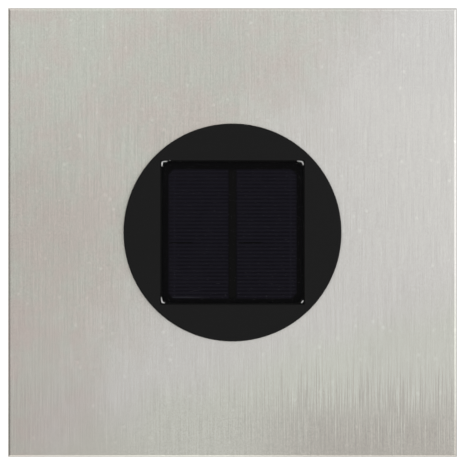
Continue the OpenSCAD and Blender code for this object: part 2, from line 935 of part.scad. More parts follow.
// Middle line of the contact spring: a helix with a short straight end along its axis at each end
function spring_place(angle, x) = [x, spring_r * cos(angle), spring_r * sin(angle)];
spring_steps = 24 * spring_turns;
spring_end = 2 * spring_wire_r;
spring_angles = concat([0], [for (i = [0 : spring_steps]) 360 * spring_turns * i / spring_steps],
    [360 * spring_turns]);
spring_path = concat(
    [spring_place(0, 0)],
    [for (i = [0 : spring_steps])
        spring_place(spring_angles[i + 1], spring_end + (spring_l - 2 * spring_end) * i / spring_steps)],
    [spring_place(360 * spring_turns, spring_l)]);
spring_gap = min([for (i = [1 : spring_steps - 12], j = [i + 12 : spring_steps + 1])
    norm(spring_path[i] - spring_path[j])]) - 2 * spring_wire_r;
echo(spring_least_gap_to_itself = spring_gap);

module contact_spring() {
    color("silver")
        translate([contact_t - bay_l / 2, battery_y, battery_z])
            wire(spring_path, [for (a = spring_angles) [0, cos(a), sin(a)]], spring_wire_r, 6);
}

module contact_plates() {
    plate_step = 1;
    plate_h = battery_d - 2 * plate_step;
    color("silver")
        for (x = [-1, 1])
            translate([x * (bay_l / 2 - contact_t / 2), battery_y, 0]) {
                translate([0, 0, battery_z]) cube([contact_t, contact_w, plate_h], center = true);
                translate([-contact_t / 2, -tag_w / 2, battery_z])
                    cube([contact_t, tag_w, tag_top - battery_z]);
            }
}

module battery() {
    can_l = battery_l - terminal_h;
    edge = 0.6;
    color("seagreen")
        translate([battery_end_x - battery_l, battery_y, battery_z])
            rotate([0, 90, 0]) {
                rotate_extrude() {
                    square([battery_d / 2 - edge, can_l]);
                    translate([0, edge]) square([battery_d / 2, can_l - 2 * edge]);
                    for (z = [edge, can_l - edge])
                        translate([battery_d / 2 - edge, z]) circle(edge);
                }
                cylinder(battery_l, r = terminal_r);
            }
}

// Switch

module switch_body() {
    color("gainsboro")
        translate([switch_x, switch_y, switch_bottom])
            difference() {
                translate([-switch_w / 2, -switch_depth / 2, 0])
                    cube([switch_w, switch_depth, switch_h]);
                translate([-foot_room_w / 2, -foot_room_depth / 2, switch_floor])
                    cube([foot_room_w, foot_room_depth, foot_room_h]);
                translate([-knob_slot_w / 2, -knob_slot_depth / 2, -cut])
                    cube([knob_slot_w, knob_slot_depth, switch_floor + 2 * cut]);
            }
}

// The knob at the left end of its travel, with three grip grooves across its tip
module switch_slider() {
    foot_z = switch_bottom + switch_floor + part_gap;
    knob_z = module_bottom - knob_out;
    groove = 0.3;
    color([0.1, 0.1, 0.1])
        translate([switch_x - switch_travel / 2, switch_y, 0]) {
            translate([-foot_w / 2, -foot_depth / 2, foot_z]) cube([foot_w, foot_depth, foot_h]);
            difference() {
                translate([-knob_w / 2, -knob_depth / 2, knob_z])
                    cube([knob_w, knob_depth, foot_z + foot_h / 2 - knob_z]);
                for (x = [-1, 0, 1])
                    translate([x * knob_w / 3, 0, knob_z])
                        cube([groove, knob_depth + cut, 2 * groove], center = true);
            }
        }
}

// Battery cover

module battery_cover() {
    color([0.8, 0.8, 0.8])
        difference() {
            translate([0, 0, module_bottom]) linear_extrude(cover_t) cover_outline(0);
            at_cover_screws() {
                translate([0, 0, module_bottom - cut])
                    cylinder(cover_t + 2 * cut, r = cover_screw_r + hole_gap);
                translate([0, 0, module_bottom])
                    cylinder(
                        cover_head_h,
                        r1 = 2 * cover_screw_r + thread_gap,
                        r2 = cover_screw_r + thread_gap);
            }
        }
}

module cover_seal() {
    seal_in = 0.5;
    seal_out = cover_corner_r;
    color([0.08, 0.08, 0.08])
        translate([0, battery_y, module_bottom + cover_t])
            linear_extrude(cover_seal_t)
                difference() {
                    round_rectangle(bay_l + 2 * seal_out, bay_w + 2 * seal_out, seal_out);
                    round_rectangle(bay_l + 2 * seal_in, bay_w + 2 * seal_in, seal_in);
                }
}

module cover_screws() {
    tip_gap = 1.6;
    shank_l = module_base_t + cover_boss_h - tip_gap;
    slot_w = 0.5 * cover_screw_r;
    color("silver")
        at_cover_screws()
            translate([0, 0, module_bottom]) {
                difference() {
                    cylinder(cover_head_h, r1 = 2 * cover_screw_r, r2 = cover_screw_r);
                    for (a = [0, 90])
                        rotate([0, 0, a])
                            cube([2 * cover_screw_r, slot_w, cover_head_h], center = true);
                }
                translate([0, 0, cover_head_h / 2])
                    cylinder(shank_l - cover_head_h / 2, r = cover_screw_r);
            }
}

hat();
hat_studs();
stud_washers();
stud_nuts();
upper_gasket();
lower_gasket();
diffuser();
carrier();
head_screws();
post();
foot_screws();
socket();
base_plate();
module_housing();
module_gasket();
panel_board();
solar_cells();
panel_resin();
panel_sealant();
module_base();
module_seal();
module_screws();
circuit_board();
driver_parts();
board_screws();
leds();
lens();
panel_leads();
battery_leads();
contact_spring();
contact_plates();
switch_body();
switch_slider();
battery_cover();
cover_seal();
cover_screws();
battery();
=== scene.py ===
"""Looks of a square solar path light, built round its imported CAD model.

Metres, +Z up, with the origin under the middle of the base plate. The camera looks straight
down on the hat, with +X to the right and +Y at the top of the picture.
"""

from __future__ import annotations

import logging
import math
from dataclasses import dataclass, fields, replace
from enum import Enum

import bmesh
import bpy
from mathutils import Matrix, Vector

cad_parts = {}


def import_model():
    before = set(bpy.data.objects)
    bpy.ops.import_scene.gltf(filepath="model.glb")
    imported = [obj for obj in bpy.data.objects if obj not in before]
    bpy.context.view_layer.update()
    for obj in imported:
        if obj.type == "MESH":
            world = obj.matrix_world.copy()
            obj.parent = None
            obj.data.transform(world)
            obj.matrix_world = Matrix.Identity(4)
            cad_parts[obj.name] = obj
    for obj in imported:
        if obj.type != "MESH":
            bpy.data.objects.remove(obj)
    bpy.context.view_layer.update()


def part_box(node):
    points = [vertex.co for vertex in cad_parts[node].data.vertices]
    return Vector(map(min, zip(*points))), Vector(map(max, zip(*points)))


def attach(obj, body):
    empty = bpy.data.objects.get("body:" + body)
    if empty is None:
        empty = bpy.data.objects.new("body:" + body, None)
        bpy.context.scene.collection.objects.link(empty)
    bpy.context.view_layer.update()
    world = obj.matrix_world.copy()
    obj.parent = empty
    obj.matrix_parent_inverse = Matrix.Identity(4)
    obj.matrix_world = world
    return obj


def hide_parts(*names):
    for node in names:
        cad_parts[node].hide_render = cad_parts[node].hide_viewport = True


LOG = logging.getLogger("path_light")
Pair = tuple[float, float]
Triple = tuple[float, float, float]
Rgba = tuple[float, float, float, float]
Node = bpy.types.Node
Outputs = bpy.types.NodeOutputs
# What an input can be linked to: an output, or a node, which stands for its first one in use
Signal = bpy.types.NodeSocket | Node

MM = 0.001
X_AXIS, Y_AXIS, Z_AXIS = (1.0, 0.0, 0.0), (0.0, 1.0, 0.0), (0.0, 0.0, 1.0)
WHITE = (1.0, 1.0, 1.0, 1.0)
QUARTER = math.pi / 2
# The signs of X and Y at the corners of a square, round from the right rear one
CORNERS = ((1, 1), (-1, 1), (-1, -1), (1, -1))


class Body(str, Enum):
    """The bodies of the light that new pieces ride on."""

    LIGHT = "light_frame"
    MODULE = "solar_module"


class Slot(str, Enum):
    """The record's material slots."""

    SHEET = "brushed_stainless"
    FASTENER = "fastener_steel"
    RUBBER = "seal_rubber"
    OPAL = "opal_acrylic"
    BLACK_ABS = "black_abs"
    WHITE_ABS = "white_abs"
    PANEL = "panel_board"
    CELL = "solar_cell"
    RESIN = "clear_resin"
    SILICONE = "silicone"
    CIRCUIT = "circuit_board"
    COMPONENT = "component_plastic"
    LED = "led_epoxy"
    LENS = "clear_lens"
    LEAD = "lead_insulation"
    NICKEL = "nickel_plate"
    SLEEVE = "battery_sleeve"


class Grain(Enum):
    """Which way the brushed lines of a stainless piece run."""

    FOLDED = "front to back on the top, and down the front and back walls"
    UPRIGHT = "up and down"
    FLAT = "front to back on a plate"


def linear(hex_colour: str) -> Rgba:
    """Turns an sRGB hex colour into linear light.

    Args:
        hex_colour: six hex digits.

    Returns:
        Linear red, green and blue, with an alpha of 1.
    """
    parts = [int(hex_colour[i : i + 2], 16) / 255 for i in (0, 2, 4)]
    straight = [c / 12.92 if c <= 0.04045 else ((c + 0.055) / 1.055) ** 2.4 for c in parts]
    return (straight[0], straight[1], straight[2], 1.0)


class Nodes:
    """A node tree that is being drawn."""

    def __init__(self, tree: bpy.types.NodeTree) -> None:
        """Draws in the given tree."""
        self.tree = tree

    def add(self, kind: str, *inputs: object, **settings: object) -> Node:
        """Adds a node, sets its properties, and sets or links its inputs.

        Args:
            kind: the node's type.
            inputs: a value or a signal for each input in order, or a dict of them by name.
            settings: the node's properties.

        Returns:
            The new node.
        """
        node = self.tree.nodes.new(kind)
        for name, value in settings.items():
            setattr(node, name, value)
        for number, given in enumerate(inputs):
            self.join(node, given if isinstance(given, dict) else {number: given})
        return node

    def join(self, node: Node, inputs: dict[str | int, object]) -> None:
        """Sets or links a node's inputs.

        Args:
            node: the node.
            inputs: a value or a signal for each input, by number or by the name of one in use.
        """
        in_use = {socket.name: socket for socket in reversed(node.inputs) if socket.enabled}
        for key, value in inputs.items():
            target = node.inputs[key] if isinstance(key, int) else in_use[key]
            if isinstance(value, Node):
                value = next(socket for socket in value.outputs if socket.enabled)
            if isinstance(value, bpy.types.NodeSocket):
                self.tree.links.new(value, target)
            else:
                target.default_value = value

    def ramp(self, value: Signal, span: Pair, levels: Pair = (0.0, 1.0)) -> Node:
        """Goes smoothly from the first level to the second as a value crosses a span."""
        smooth = {"interpolation_type": "SMOOTHSTEP"}
        return self.add("ShaderNodeMapRange", value, *span, *levels, **smooth)


class Coat(Nodes):
    """A material that is being drawn, with its shader and the Object coordinates."""

    def __init__(self, finish: Finish) -> None:
        """Starts a material with a finish's even values.

        Args:
            finish: the finish.
        """
        self.material = bpy.data.materials.new(finish.name)
        self.material.use_nodes = True
        self.material.diffuse_color = linear(finish.colour)
        super().__init__(self.material.node_tree)
        self.shader = self.tree.nodes["Principled BSDF"]
        self.paint("Base Color", linear(finish.colour))
        self.paint("Metallic", finish.metallic)
        self.paint("Roughness", finish.roughness)
        self.paint("Specular IOR Level", finish.specular)
        self.place = self.add("ShaderNodeTexCoord").outputs["Object"]

    def paint(self, name: str, value: object) -> None:
        """Sets or links one of the shader's inputs."""
        self.join(self.shader, {name: value})

    def show(self, share: Signal, first: Signal, second: Signal) -> None:
        """Shows the first shader where the share is 0 and the second where it is 1."""
        both = self.add("ShaderNodeMixShader", share, first, second)
        self.join(self.tree.nodes["Material Output"], {"Surface": both})

    def noise(
        self, place: Signal, size_mm: Triple, detail: float = 2.0, crumb: float = 0.5
    ) -> Node:
        """Noise from 0 to 1 whose lumps have a real size.

        Args:
            place: the coordinates, in metres.
            size_mm: size of a lump along each axis, in millimetres.
            detail: how many finer layers the noise has.
            crumb: how strong each finer layer is.

        Returns:
            The noise.
        """
        scale = tuple(1 / (size * MM) for size in size_mm)
        sized = self.add("ShaderNodeMapping", {"Vector": place, "Scale": scale})
        inputs = {"Vector": sized, "Scale": 1.0, "Detail": detail, "Roughness": crumb}
        return self.add("ShaderNodeTexNoise", inputs)

    def crystals(self, size_mm: float) -> Node:
        """Cells round scattered points that lie a real distance apart."""
        return self.add("ShaderNodeTexVoronoi", {"Vector": self.place, "Scale": 1 / (size_mm * MM)})

    def between(
        self, share: Signal, first: object, second: object, low: float = 0.3, high: float = 0.7
    ) -> Node:
        """Mixes two colours.

        Args:
            share: the value that picks the colour.
            first: colour where the value is low, a hex colour or a signal.
            second: colour where it is high.
            low: value at which the first colour ends.
            high: value at which the second colour is full.

        Returns:
            The mixed colour.
        """
        first, second = (linear(c) if isinstance(c, str) else c for c in (first, second))
        reach = self.ramp(share, (low, high))
        return self.add("ShaderNodeMix", reach, {"A": first, "B": second}, data_type="RGBA")

    def shifted(self, value: Signal, noise: Signal, reach: float) -> Node:
        """Moves a distance by up to half a reach either way, as the middle half of a noise goes."""
        swing = self.add("ShaderNodeMapRange", noise, 0.25, 0.75, -reach / 2, reach / 2)
        return self.add("ShaderNodeMath", value, swing, operation="ADD")

    def scaled_where(self, colour: Signal, share: Signal, scale_by: Triple) -> Node:
        """Multiplies a colour by a scale where its share is high."""
        full = self.add("ShaderNodeVectorMath", colour, scale_by, operation="MULTIPLY")
        return self.add("ShaderNodeMix", share, {"A": colour, "B": full}, data_type="RGBA")

    def away(self, x: float, y: float) -> Node:
        """The level distance from an upright line."""
        flat = self.add("ShaderNodeVectorMath", self.place, (1.0, 1.0, 0.0), operation="MULTIPLY")
        return self.add("ShaderNodeVectorMath", flat, (x, y, 0.0), operation="DISTANCE")


# Finishes


@dataclass(frozen=True)
class Finish:
    """A finish: one procedural material, named for what the real surface is.

    The plain form is a smooth moulded surface whose tone and gloss vary a little.
    """

    name: str
    slot: Slot
    colour: str
    shadow_colour: str
    roughness: float = 0.5
    metallic: float = 0.0
    specular: float = 0.5
    grain_mm: float = 1.0
    relief_mm: float = 0.01
    gloss_swing: float = 0.06
    least_roughness: float = 0.02

    def material(self) -> bpy.types.Material:
        """Builds the finish's material when it is first asked for.

        Returns:
            The material.
        """
        found = bpy.data.materials.get(self.name)
        if found is not None:
            return found
        coat = Coat(self)
        self.shade(coat)
        return coat.material

    def shade(self, coat: Coat) -> None:
        """Lets colour, gloss and relief follow the finish's pattern.

        Args:
            coat: the material.
        """
        pattern = self.pattern(coat)
        plain = coat.between(pattern, self.shadow_colour, self.colour)
        coat.paint("Base Color", self.tinted(coat, plain))
        self.texture(coat, pattern)

    def pattern(self, coat: Coat) -> Signal:
        """The pattern that the finish follows: lumps of about grain_mm."""
        return coat.noise(coat.place, (self.grain_mm,) * 3)

    def tinted(self, coat: Coat, plain: Signal) -> Signal:
        """The finish's colour, made from its plain one."""
        return plain

    def texture(self, coat: Coat, pattern: Signal) -> None:
        """Lets gloss and relief follow a pattern.

        Args:
            coat: the material.
            pattern: its values, from 0 to 1.
        """
        low = max(self.roughness - self.gloss_swing, self.least_roughness)
        levels = (low, self.roughness + self.gloss_swing)
        coat.paint("Roughness", coat.add("ShaderNodeMapRange", pattern, 0.0, 1.0, *levels))
        if self.relief_mm:
            inputs = {"Height": pattern, "Strength": 1.0, "Distance": self.relief_mm * MM}
            coat.paint("Normal", coat.add("ShaderNodeBump", inputs))


@dataclass(frozen=True)
class SatinStainless(Finish):
    """Cold-rolled stainless sheet, belt-ground to fine parallel lines.

    The lines blur reflections across themselves, and uneven belt pressure leaves paler and
    darker lines and faint greenish and pinkish patches. Here and there a painted glint, a
    bright dot in the colour, marks a pit. The real lines are about 0.05 mm apart, and are
    drawn coarser so that they show.
    """

    gloss_swing: float = 0.04
    grain: Grain = Grain.FLAT
    anisotropy: float = 0.6
    contrast: float = 0.06
    fine_mm: Triple = (0.35, 14.0, 1.0)
    broad_mm: Triple = (0.65, 60.0, 1.0)
    grit_mm: float = 0.5
    mixture: Triple = (1.05, 0.8, 1.5)
    patch_mm: float = 18.0
    patch_span: Pair = (0.36, 0.64)
    pit_mm: float = 6.0
    pit_span: Pair = (0.06, 0.16)
    pit_painted_glint: float = 0.08
    facing: float = 0.7

    def shade(self, coat: Coat) -> None:
        """Draws the ground lines along the grain and turns the gloss across it.

        Args:
            coat: the material.
        """
        lines, tangent = self.grain_axes(coat)
        fine = coat.noise(lines, self.fine_mm)
        broad = coat.noise(lines, self.broad_mm, detail=3.0)
        grit = coat.noise(coat.place, (self.grit_mm,) * 3)
        level = 0.0
        for pattern, weight in zip((fine, broad, grit), self.mixture):
            swing = coat.add("ShaderNodeMath", pattern, 0.5, operation="SUBTRACT")
            level = coat.add("ShaderNodeMath", swing, weight, level, operation="MULTIPLY_ADD")
        strength = self.line_strength(coat)
        level = coat.add("ShaderNodeMath", level, strength, 1.0, operation="MULTIPLY_ADD")
        # Painted glints: bright dots added to the colour at scattered pits
        painted_glint = coat.ramp(coat.crystals(self.pit_mm), self.pit_span, (self.pit_painted_glint, 0.0))
        bright = {"Scale": coat.add("ShaderNodeMath", level, painted_glint, operation="ADD")}
        tint = self.tint(coat, lines)
        coat.paint("Base Color", coat.add("ShaderNodeVectorMath", tint, bright, operation="SCALE"))
        coat.paint("Anisotropic", self.anisotropy)
        coat.paint("Tangent", tangent)
        self.texture(coat, fine)

    def line_strength(self, coat: Coat) -> Signal | float:
        """How strongly the ground lines differ in brightness."""
        return self.contrast

    def tint(self, coat: Coat, lines: Signal) -> Signal:
        """The sheet's colour: greenish where it is freshly ground, pinkish where it is not."""
        patches = coat.noise(coat.place, (self.patch_mm,) * 3, detail=8.0, crumb=0.68)
        return coat.between(patches, self.shadow_colour, self.colour, *self.patch_span)

    def grain_axes(self, coat: Coat) -> tuple[Signal, Signal]:
        """Finds the way across and along the ground lines on each face.

        Args:
            coat: the material.

        Returns:
            The distances across and along the lines as one vector, and the direction across.
        """
        x, y, z = coat.add("ShaderNodeSeparateXYZ", coat.place).outputs
        normal = coat.add("ShaderNodeTexCoord").outputs["Normal"]
        line, other = Y_AXIS, Z_AXIS
        across, along = x, y
        if self.grain is Grain.UPRIGHT:
            line, other = other, line
            across = coat.add("ShaderNodeMath", x, y, operation="ADD")
            along = z
        elif self.grain is Grain.FOLDED:
            across, along = (
                coat.add("ShaderNodeMix", self.end_on(coat, normal, axis), {"A": flat, "B": z})
                for axis, flat in ((X_AXIS, x), (Y_AXIS, y))
            )
        end = self.end_on(coat, normal, line)
        way = coat.add("ShaderNodeMix", end, {"A": line, "B": other}, data_type="VECTOR")
        turned = coat.add("ShaderNodeVectorMath", normal, way, operation="CROSS_PRODUCT")
        return coat.add("ShaderNodeCombineXYZ", across, along), turned

    def end_on(self, coat: Coat, normal: Signal, axis: Triple) -> Signal:
        """Picks the faces that face along an axis, to either side.

        Args:
            coat: the material.
            normal: the way that a face looks.
            axis: the axis.

        Returns:
            1 on those faces, and 0 on the others.
        """
        share = coat.add("ShaderNodeVectorMath", normal, axis, operation="DOT_PRODUCT")
        size = coat.add("ShaderNodeMath", share, operation="ABSOLUTE")
        return coat.add("ShaderNodeMath", size, self.facing, operation="GREATER_THAN")


@dataclass(frozen=True)
class HatStainless(SatinStainless):
    """The hat's sheet, with painted light and shade and a few toned places over the plain sheet.

    Its right rear half is painted paler, cooler and even as a highlight, which turns greenish
    along its front. At the front edge a painted shade, darker and browner, ends raggedly along
    the belt's strokes. To the left the lines are livelier, and at a few places the tone is
    shifted, mostly darker.
    """

    # Painted highlight: paler and cooler over the right rear half, greenish at its front
    painted_highlight_colour: str = "CCCAC6"
    highlight_green_colour: str = "C9CAC1"
    cloud_mm: Triple = (16.0, 24.0, 16.0)
    highlight_slant: float = -0.75
    highlight_span: Pair = (-0.04, 0.015)
    highlight_jag: float = 0.03
    highlight_green_slope: float = -0.35
    highlight_green_span: Pair = (-0.067, -0.043)
    highlight_green_jag: float = 0.012
    # Painted shade along the front edge: darker and browner, strongest to the right
    front_shade_tint: Triple = (0.77, 0.725, 0.73)
    front_contrast: float = 0.14
    front_shade_y: float = -0.052
    front_blend: float = 0.03
    front_shade_jag: float = 0.04
    front_shade_x: Pair = (-0.01, 0.042)
    side_least: float = 0.3
    stroke_mm: Triple = (0.4, 24.0, 1.0)
    lively_x: Pair = (-0.065, -0.015)
    wall_share: float = 0.2
    top_z: float = 0.0
    top_depth: float = 0.006
    # Each toned place: x, y, radius and the scale its colour is multiplied by
    toned_places: tuple[tuple[float, float, float, Triple], ...] = (
        (-0.09, -0.002, 0.06, (0.948, 0.932, 0.928)),
        (-0.09, -0.085, 0.065, (0.945, 0.92, 0.92)),
        (0.02, 0.085, 0.06, (0.96, 0.95, 0.96)),
        (0.09, 0.095, 0.06, (0.93, 0.935, 0.945)),
        (0.076, -0.045, 0.04, (0.955, 0.945, 0.955)),
        (-0.022, 0.058, 0.04, (0.97, 0.965, 0.965)),
        (-0.082, -0.05, 0.035, (1.01, 0.99, 1.0)),
    )
    toned_core: float = 0.3
    toned_jag: float = 0.3
    calm_contrast: float = 0.135
    # Where the lines are calm outside the painted highlight: x, y and radius
    calm_place: Triple = (-0.088, -0.085, 0.072)
    calm_core: float = 0.4
    calm_share: float = 0.5

    def line_strength(self, coat: Coat) -> Signal | float:
        """Calms the lines in the painted highlight and strengthens them in the painted shade.

        Args:
            coat: the material.

        Returns:
            How strongly the lines differ in brightness.
        """
        highlight_reach, _, ahead = self.zones(coat)
        calm = coat.ramp(highlight_reach, self.highlight_span, (self.contrast, self.calm_contrast))
        front_edge = coat.ramp(ahead, (0.0, self.front_blend), (0.0, self.front_contrast))
        side = self.right_side_share(coat, self.lively_x)
        strength = coat.add("ShaderNodeMath", front_edge, side, calm, operation="MULTIPLY_ADD")
        x, y, radius = self.calm_place
        core = (self.calm_core * radius, radius)
        share = coat.ramp(coat.away(x, y), core, (self.calm_share, 1.0))
        return coat.add("ShaderNodeMath", strength, share, operation="MULTIPLY")

    def right_side_share(self, coat: Coat, span: Pair) -> Signal:
        """Share of painted shade and stronger lines: most to the right, little on the walls.

        Args:
            coat: the material.
            span: where the share begins along X, and where it is full.

        Returns:
            The share, up to 1.
        """
        x, _, z = coat.add("ShaderNodeSeparateXYZ", coat.place).outputs
        side = coat.ramp(x, span, (self.side_least, 1.0))
        top = coat.ramp(z, (self.top_z - self.top_depth, self.top_z), (self.wall_share, 1.0))
        return coat.add("ShaderNodeMath", side, top, operation="MULTIPLY")

    def zones(self, coat: Coat) -> tuple[Signal, ...]:
        """Distances placing the painted highlight, its greenish band and the painted front shade.

        Args:
            coat: the material.

        Returns:
            How far a point lies into the painted highlight, behind its greenish band, and into
            the painted front shade.
        """
        x, y, _ = coat.add("ShaderNodeSeparateXYZ", coat.place).outputs
        rows = ((y, self.highlight_slant, x), (x, self.highlight_green_slope, y), (y, -1.0, self.front_shade_y))
        return tuple(coat.add("ShaderNodeMath", *row, operation="MULTIPLY_ADD") for row in rows)

    def tint(self, coat: Coat, lines: Signal) -> Signal:
        """Lays the painted highlight, the toned places and the painted front shade over the sheet.

        Args:
            coat: the material.
            lines: the distances across and along the ground lines.

        Returns:
            The colour.
        """
        highlight_reach, behind, ahead = self.zones(coat)
        cloud = coat.noise(coat.place, self.cloud_mm, detail=7.0, crumb=0.65)
        # Painted highlight: paler and cooler over the right rear half, greenish at its front
        behind = coat.shifted(behind, cloud, self.highlight_green_jag)
        cool = coat.between(behind, self.highlight_green_colour, self.painted_highlight_colour, *self.highlight_green_span)
        highlight_reach = coat.shifted(highlight_reach, cloud, self.highlight_jag)
        sheet = coat.between(highlight_reach, super().tint(coat, lines), cool, *self.highlight_span)
        for x, y, radius, scale_by in self.toned_places:
            away = coat.shifted(coat.away(x, y), cloud, self.toned_jag * radius)
            toned_share = coat.ramp(away, (self.toned_core * radius, radius), (1.0, 0.0))
            sheet = coat.scaled_where(sheet, toned_share, scale_by)
        # Painted shade along the front edge, ending raggedly along the belt's strokes
        strokes = coat.noise(lines, self.stroke_mm, crumb=0.6)
        front_edge = coat.ramp(coat.shifted(ahead, strokes, self.front_shade_jag), (0.0, self.front_blend))
        side = self.right_side_share(coat, self.front_shade_x)
        share = coat.add("ShaderNodeMath", front_edge, side, operation="MULTIPLY")
        return coat.scaled_where(sheet, share, self.front_shade_tint)


@dataclass(frozen=True)
class FoamRubber(Finish):
    """Closed-cell EPDM foam, cut from sheet, with pinholes where the cut opens its cells."""

    def pattern(self, coat: Coat) -> Signal:
        """Open cells of about grain_mm."""
        return coat.crystals(self.grain_mm)


@dataclass(frozen=True)
class OpalAcrylic(Finish):
    """Extruded opal acrylic: white all through, with a soft glow under a clear skin."""

    gloss_swing: float = 0.04
    drawn_mm: Triple = (2.5, 2.5, 240.0)
    glow: float = 0.7
    glow_mm: float = 6.0
    glow_reach: Triple = (1.0, 0.98, 0.92)

    def pattern(self, coat: Coat) -> Signal:
        """The faint upright lines of the extrusion."""
        return coat.noise(coat.place, self.drawn_mm)

    def shade(self, coat: Coat) -> None:
        """Adds light under the skin.

        Args:
            coat: the material.
        """
        super().shade(coat)
        coat.paint("Subsurface Weight", self.glow)
        coat.paint("Subsurface Radius", self.glow_reach)
        coat.paint("Subsurface Scale", self.glow_mm * MM)


@dataclass(frozen=True)
class SolderMask(Finish):
    """Glossy solder mask over copper tracks, which stand up a little and read paler."""

    gloss_swing: float = 0.03
    track_mm: float = 2.2

    def pattern(self, coat: Coat) -> Signal:
        """Draws the tracks under the mask as the joints of a brick pattern.

        Args:
            coat: the material.

        Returns:
            1 on the tracks, and 0 between them.
        """
        joints = {"Mortar Size": 0.09, "Mortar Smooth": 0.3, "Brick Width": 3.0, "Row Height": 0.8}
        inputs = {"Vector": coat.place, "Scale": 1 / (self.track_mm * MM), **joints}
        return coat.add("ShaderNodeTexBrick", inputs, offset_frequency=3).outputs["Fac"]


@dataclass(frozen=True)
class SiliconCell(Finish):
    """Cast silicon under a blue-black coating, mottled by its crystals."""

    relief_mm: float = 0.0
    gloss_swing: float = 0.05

    def pattern(self, coat: Coat) -> Signal:
        """Crystals as flat patches of slightly different tone."""
        colour = coat.crystals(self.grain_mm).outputs["Color"]
        return coat.add("ShaderNodeSeparateColor", colour)


@dataclass(frozen=True)
class ClearCast(Finish):
    """Clear cast resin: a mirror-smooth skin that is seen through to what it covers."""

    grain_mm: float = 9.0
    gloss_swing: float = 0.01
    ior: float = 1.5

    def shade(self, coat: Coat) -> None:
        """Mixes a clear see-through layer with its surface gloss, with slow waves in it.

        Its rays go straight on, so the inner side takes the index the other way round.

        Args:
            coat: the material.
        """
        super().shade(coat)
        clear = coat.add("ShaderNodeBsdfTransparent", WHITE)
        inside = coat.add("ShaderNodeNewGeometry").outputs["Backfacing"]
        bend = coat.add("ShaderNodeMix", inside, {"A": self.ior, "B": 1 / self.ior})
        coat.show(coat.add("ShaderNodeFresnel", bend), clear, coat.shader)


@dataclass(frozen=True)
class ClearMoulding(Finish):
    """Clear injection-moulded lens: it bends what is behind it and lets light pass."""

    grain_mm: float = 7.0
    gloss_swing: float = 0.01
    ior: float = 1.49

    def shade(self, coat: Coat) -> None:
        """Bends light, but lets lamps shine straight through so that it casts no black shadow.

        Args:
            coat: the material.
        """
        super().shade(coat)
        coat.paint("Transmission Weight", 1.0)
        coat.paint("IOR", self.ior)
        clear = coat.add("ShaderNodeBsdfTransparent", linear(self.colour))
        ray = coat.add("ShaderNodeLightPath").outputs["Is Shadow Ray"]
        coat.show(ray, coat.shader, clear)


@dataclass(frozen=True)
class SplitFinish(Finish):
    """A finish whose colour changes at a place along X, as on a pair of leads."""

    other_colour: str = "101010"
    split_x: float = 0.0
    blend_mm: float = 0.05

    def tinted(self, coat: Coat, plain: Signal) -> Signal:
        """Uses the other colour on the left and the plain one on the right.

        Args:
            coat: the material.
            plain: the plain colour.

        Returns:
            The colour.
        """
        x = coat.add("ShaderNodeSeparateXYZ", coat.place).outputs[0]
        edge = self.blend_mm * MM
        span = (self.split_x - edge, self.split_x + edge)
        return coat.between(x, self.other_colour, plain, *span)


@dataclass(frozen=True)
class PanelMask(Finish):
    """Black mask on the panel's board, which shows a paler strip between the two columns."""

    strip_colour: str = "101010"
    strip_half: Triple = (1.4 * MM, 25 * MM, 1.0)
    strip_middle: Triple = (0.0, 0.0, 0.0)
    # Where the strip fades, sideways and lengthwise, in shares of its half sizes
    side_fade: Pair = (0.7, 1.2)
    end_fade: Pair = (0.97, 1.01)

    def tinted(self, coat: Coat, plain: Signal) -> Signal:
        """Lightens the strip, which ends where the cells end.

        Args:
            coat: the material.
            plain: the mask's own colour.

        Returns:
            The colour.
        """
        away = coat.add("ShaderNodeVectorMath", coat.place, self.strip_middle, operation="SUBTRACT")
        share = coat.add("ShaderNodeVectorMath", away, self.strip_half, operation="DIVIDE")
        share = coat.add("ShaderNodeVectorMath", share, operation="ABSOLUTE")
        x, y, _ = coat.add("ShaderNodeSeparateXYZ", share).outputs
        edge, end = coat.ramp(x, self.side_fade), coat.ramp(y, self.end_fade)
        out = coat.add("ShaderNodeMath", edge, end, operation="MAXIMUM")
        return coat.between(out, self.strip_colour, plain, 0.0, 1.0)


@dataclass(frozen=True)
class BatterySleeve(Finish):
    """Printed shrink sleeve over a nickel-plated can: bare metal ends, and one plain band."""

    gloss_swing: float = 0.03
    metal_colour: str = "C9C6BE"
    band_colour: str = "D8B26A"
    axis: Triple = (0.0, 0.0, 0.0)
    terminal_x: float = 0.0
    rim_mm: float = 6.2
    band_mm: float = 7.0
    blend_mm: float = 0.1

    def tinted(self, coat: Coat, plain: Signal) -> Signal:
        """Bares the metal at the two ends and puts a plain band near the terminal.

        Args:
            coat: the material.
            plain: the sleeve's own colour.

        Returns:
            The colour.
        """
        middle = coat.add("ShaderNodeVectorMath", coat.place, self.axis, operation="SUBTRACT")
        x, y, z = coat.add("ShaderNodeSeparateXYZ", middle).outputs
        flat = coat.add("ShaderNodeCombineXYZ", {"Y": y, "Z": z})
        radius = coat.add("ShaderNodeVectorMath", flat, operation="LENGTH")
        starts = (self.rim_mm * MM, self.terminal_x - self.band_mm * MM)
        rim, band = ((start, start + self.blend_mm * MM) for start in starts)
        coat.paint("Metallic", coat.ramp(radius, rim, (1.0, 0.0)))
        banded = coat.between(x, plain, self.band_colour, *band)
        return coat.between(radius, self.metal_colour, banded, *rim)


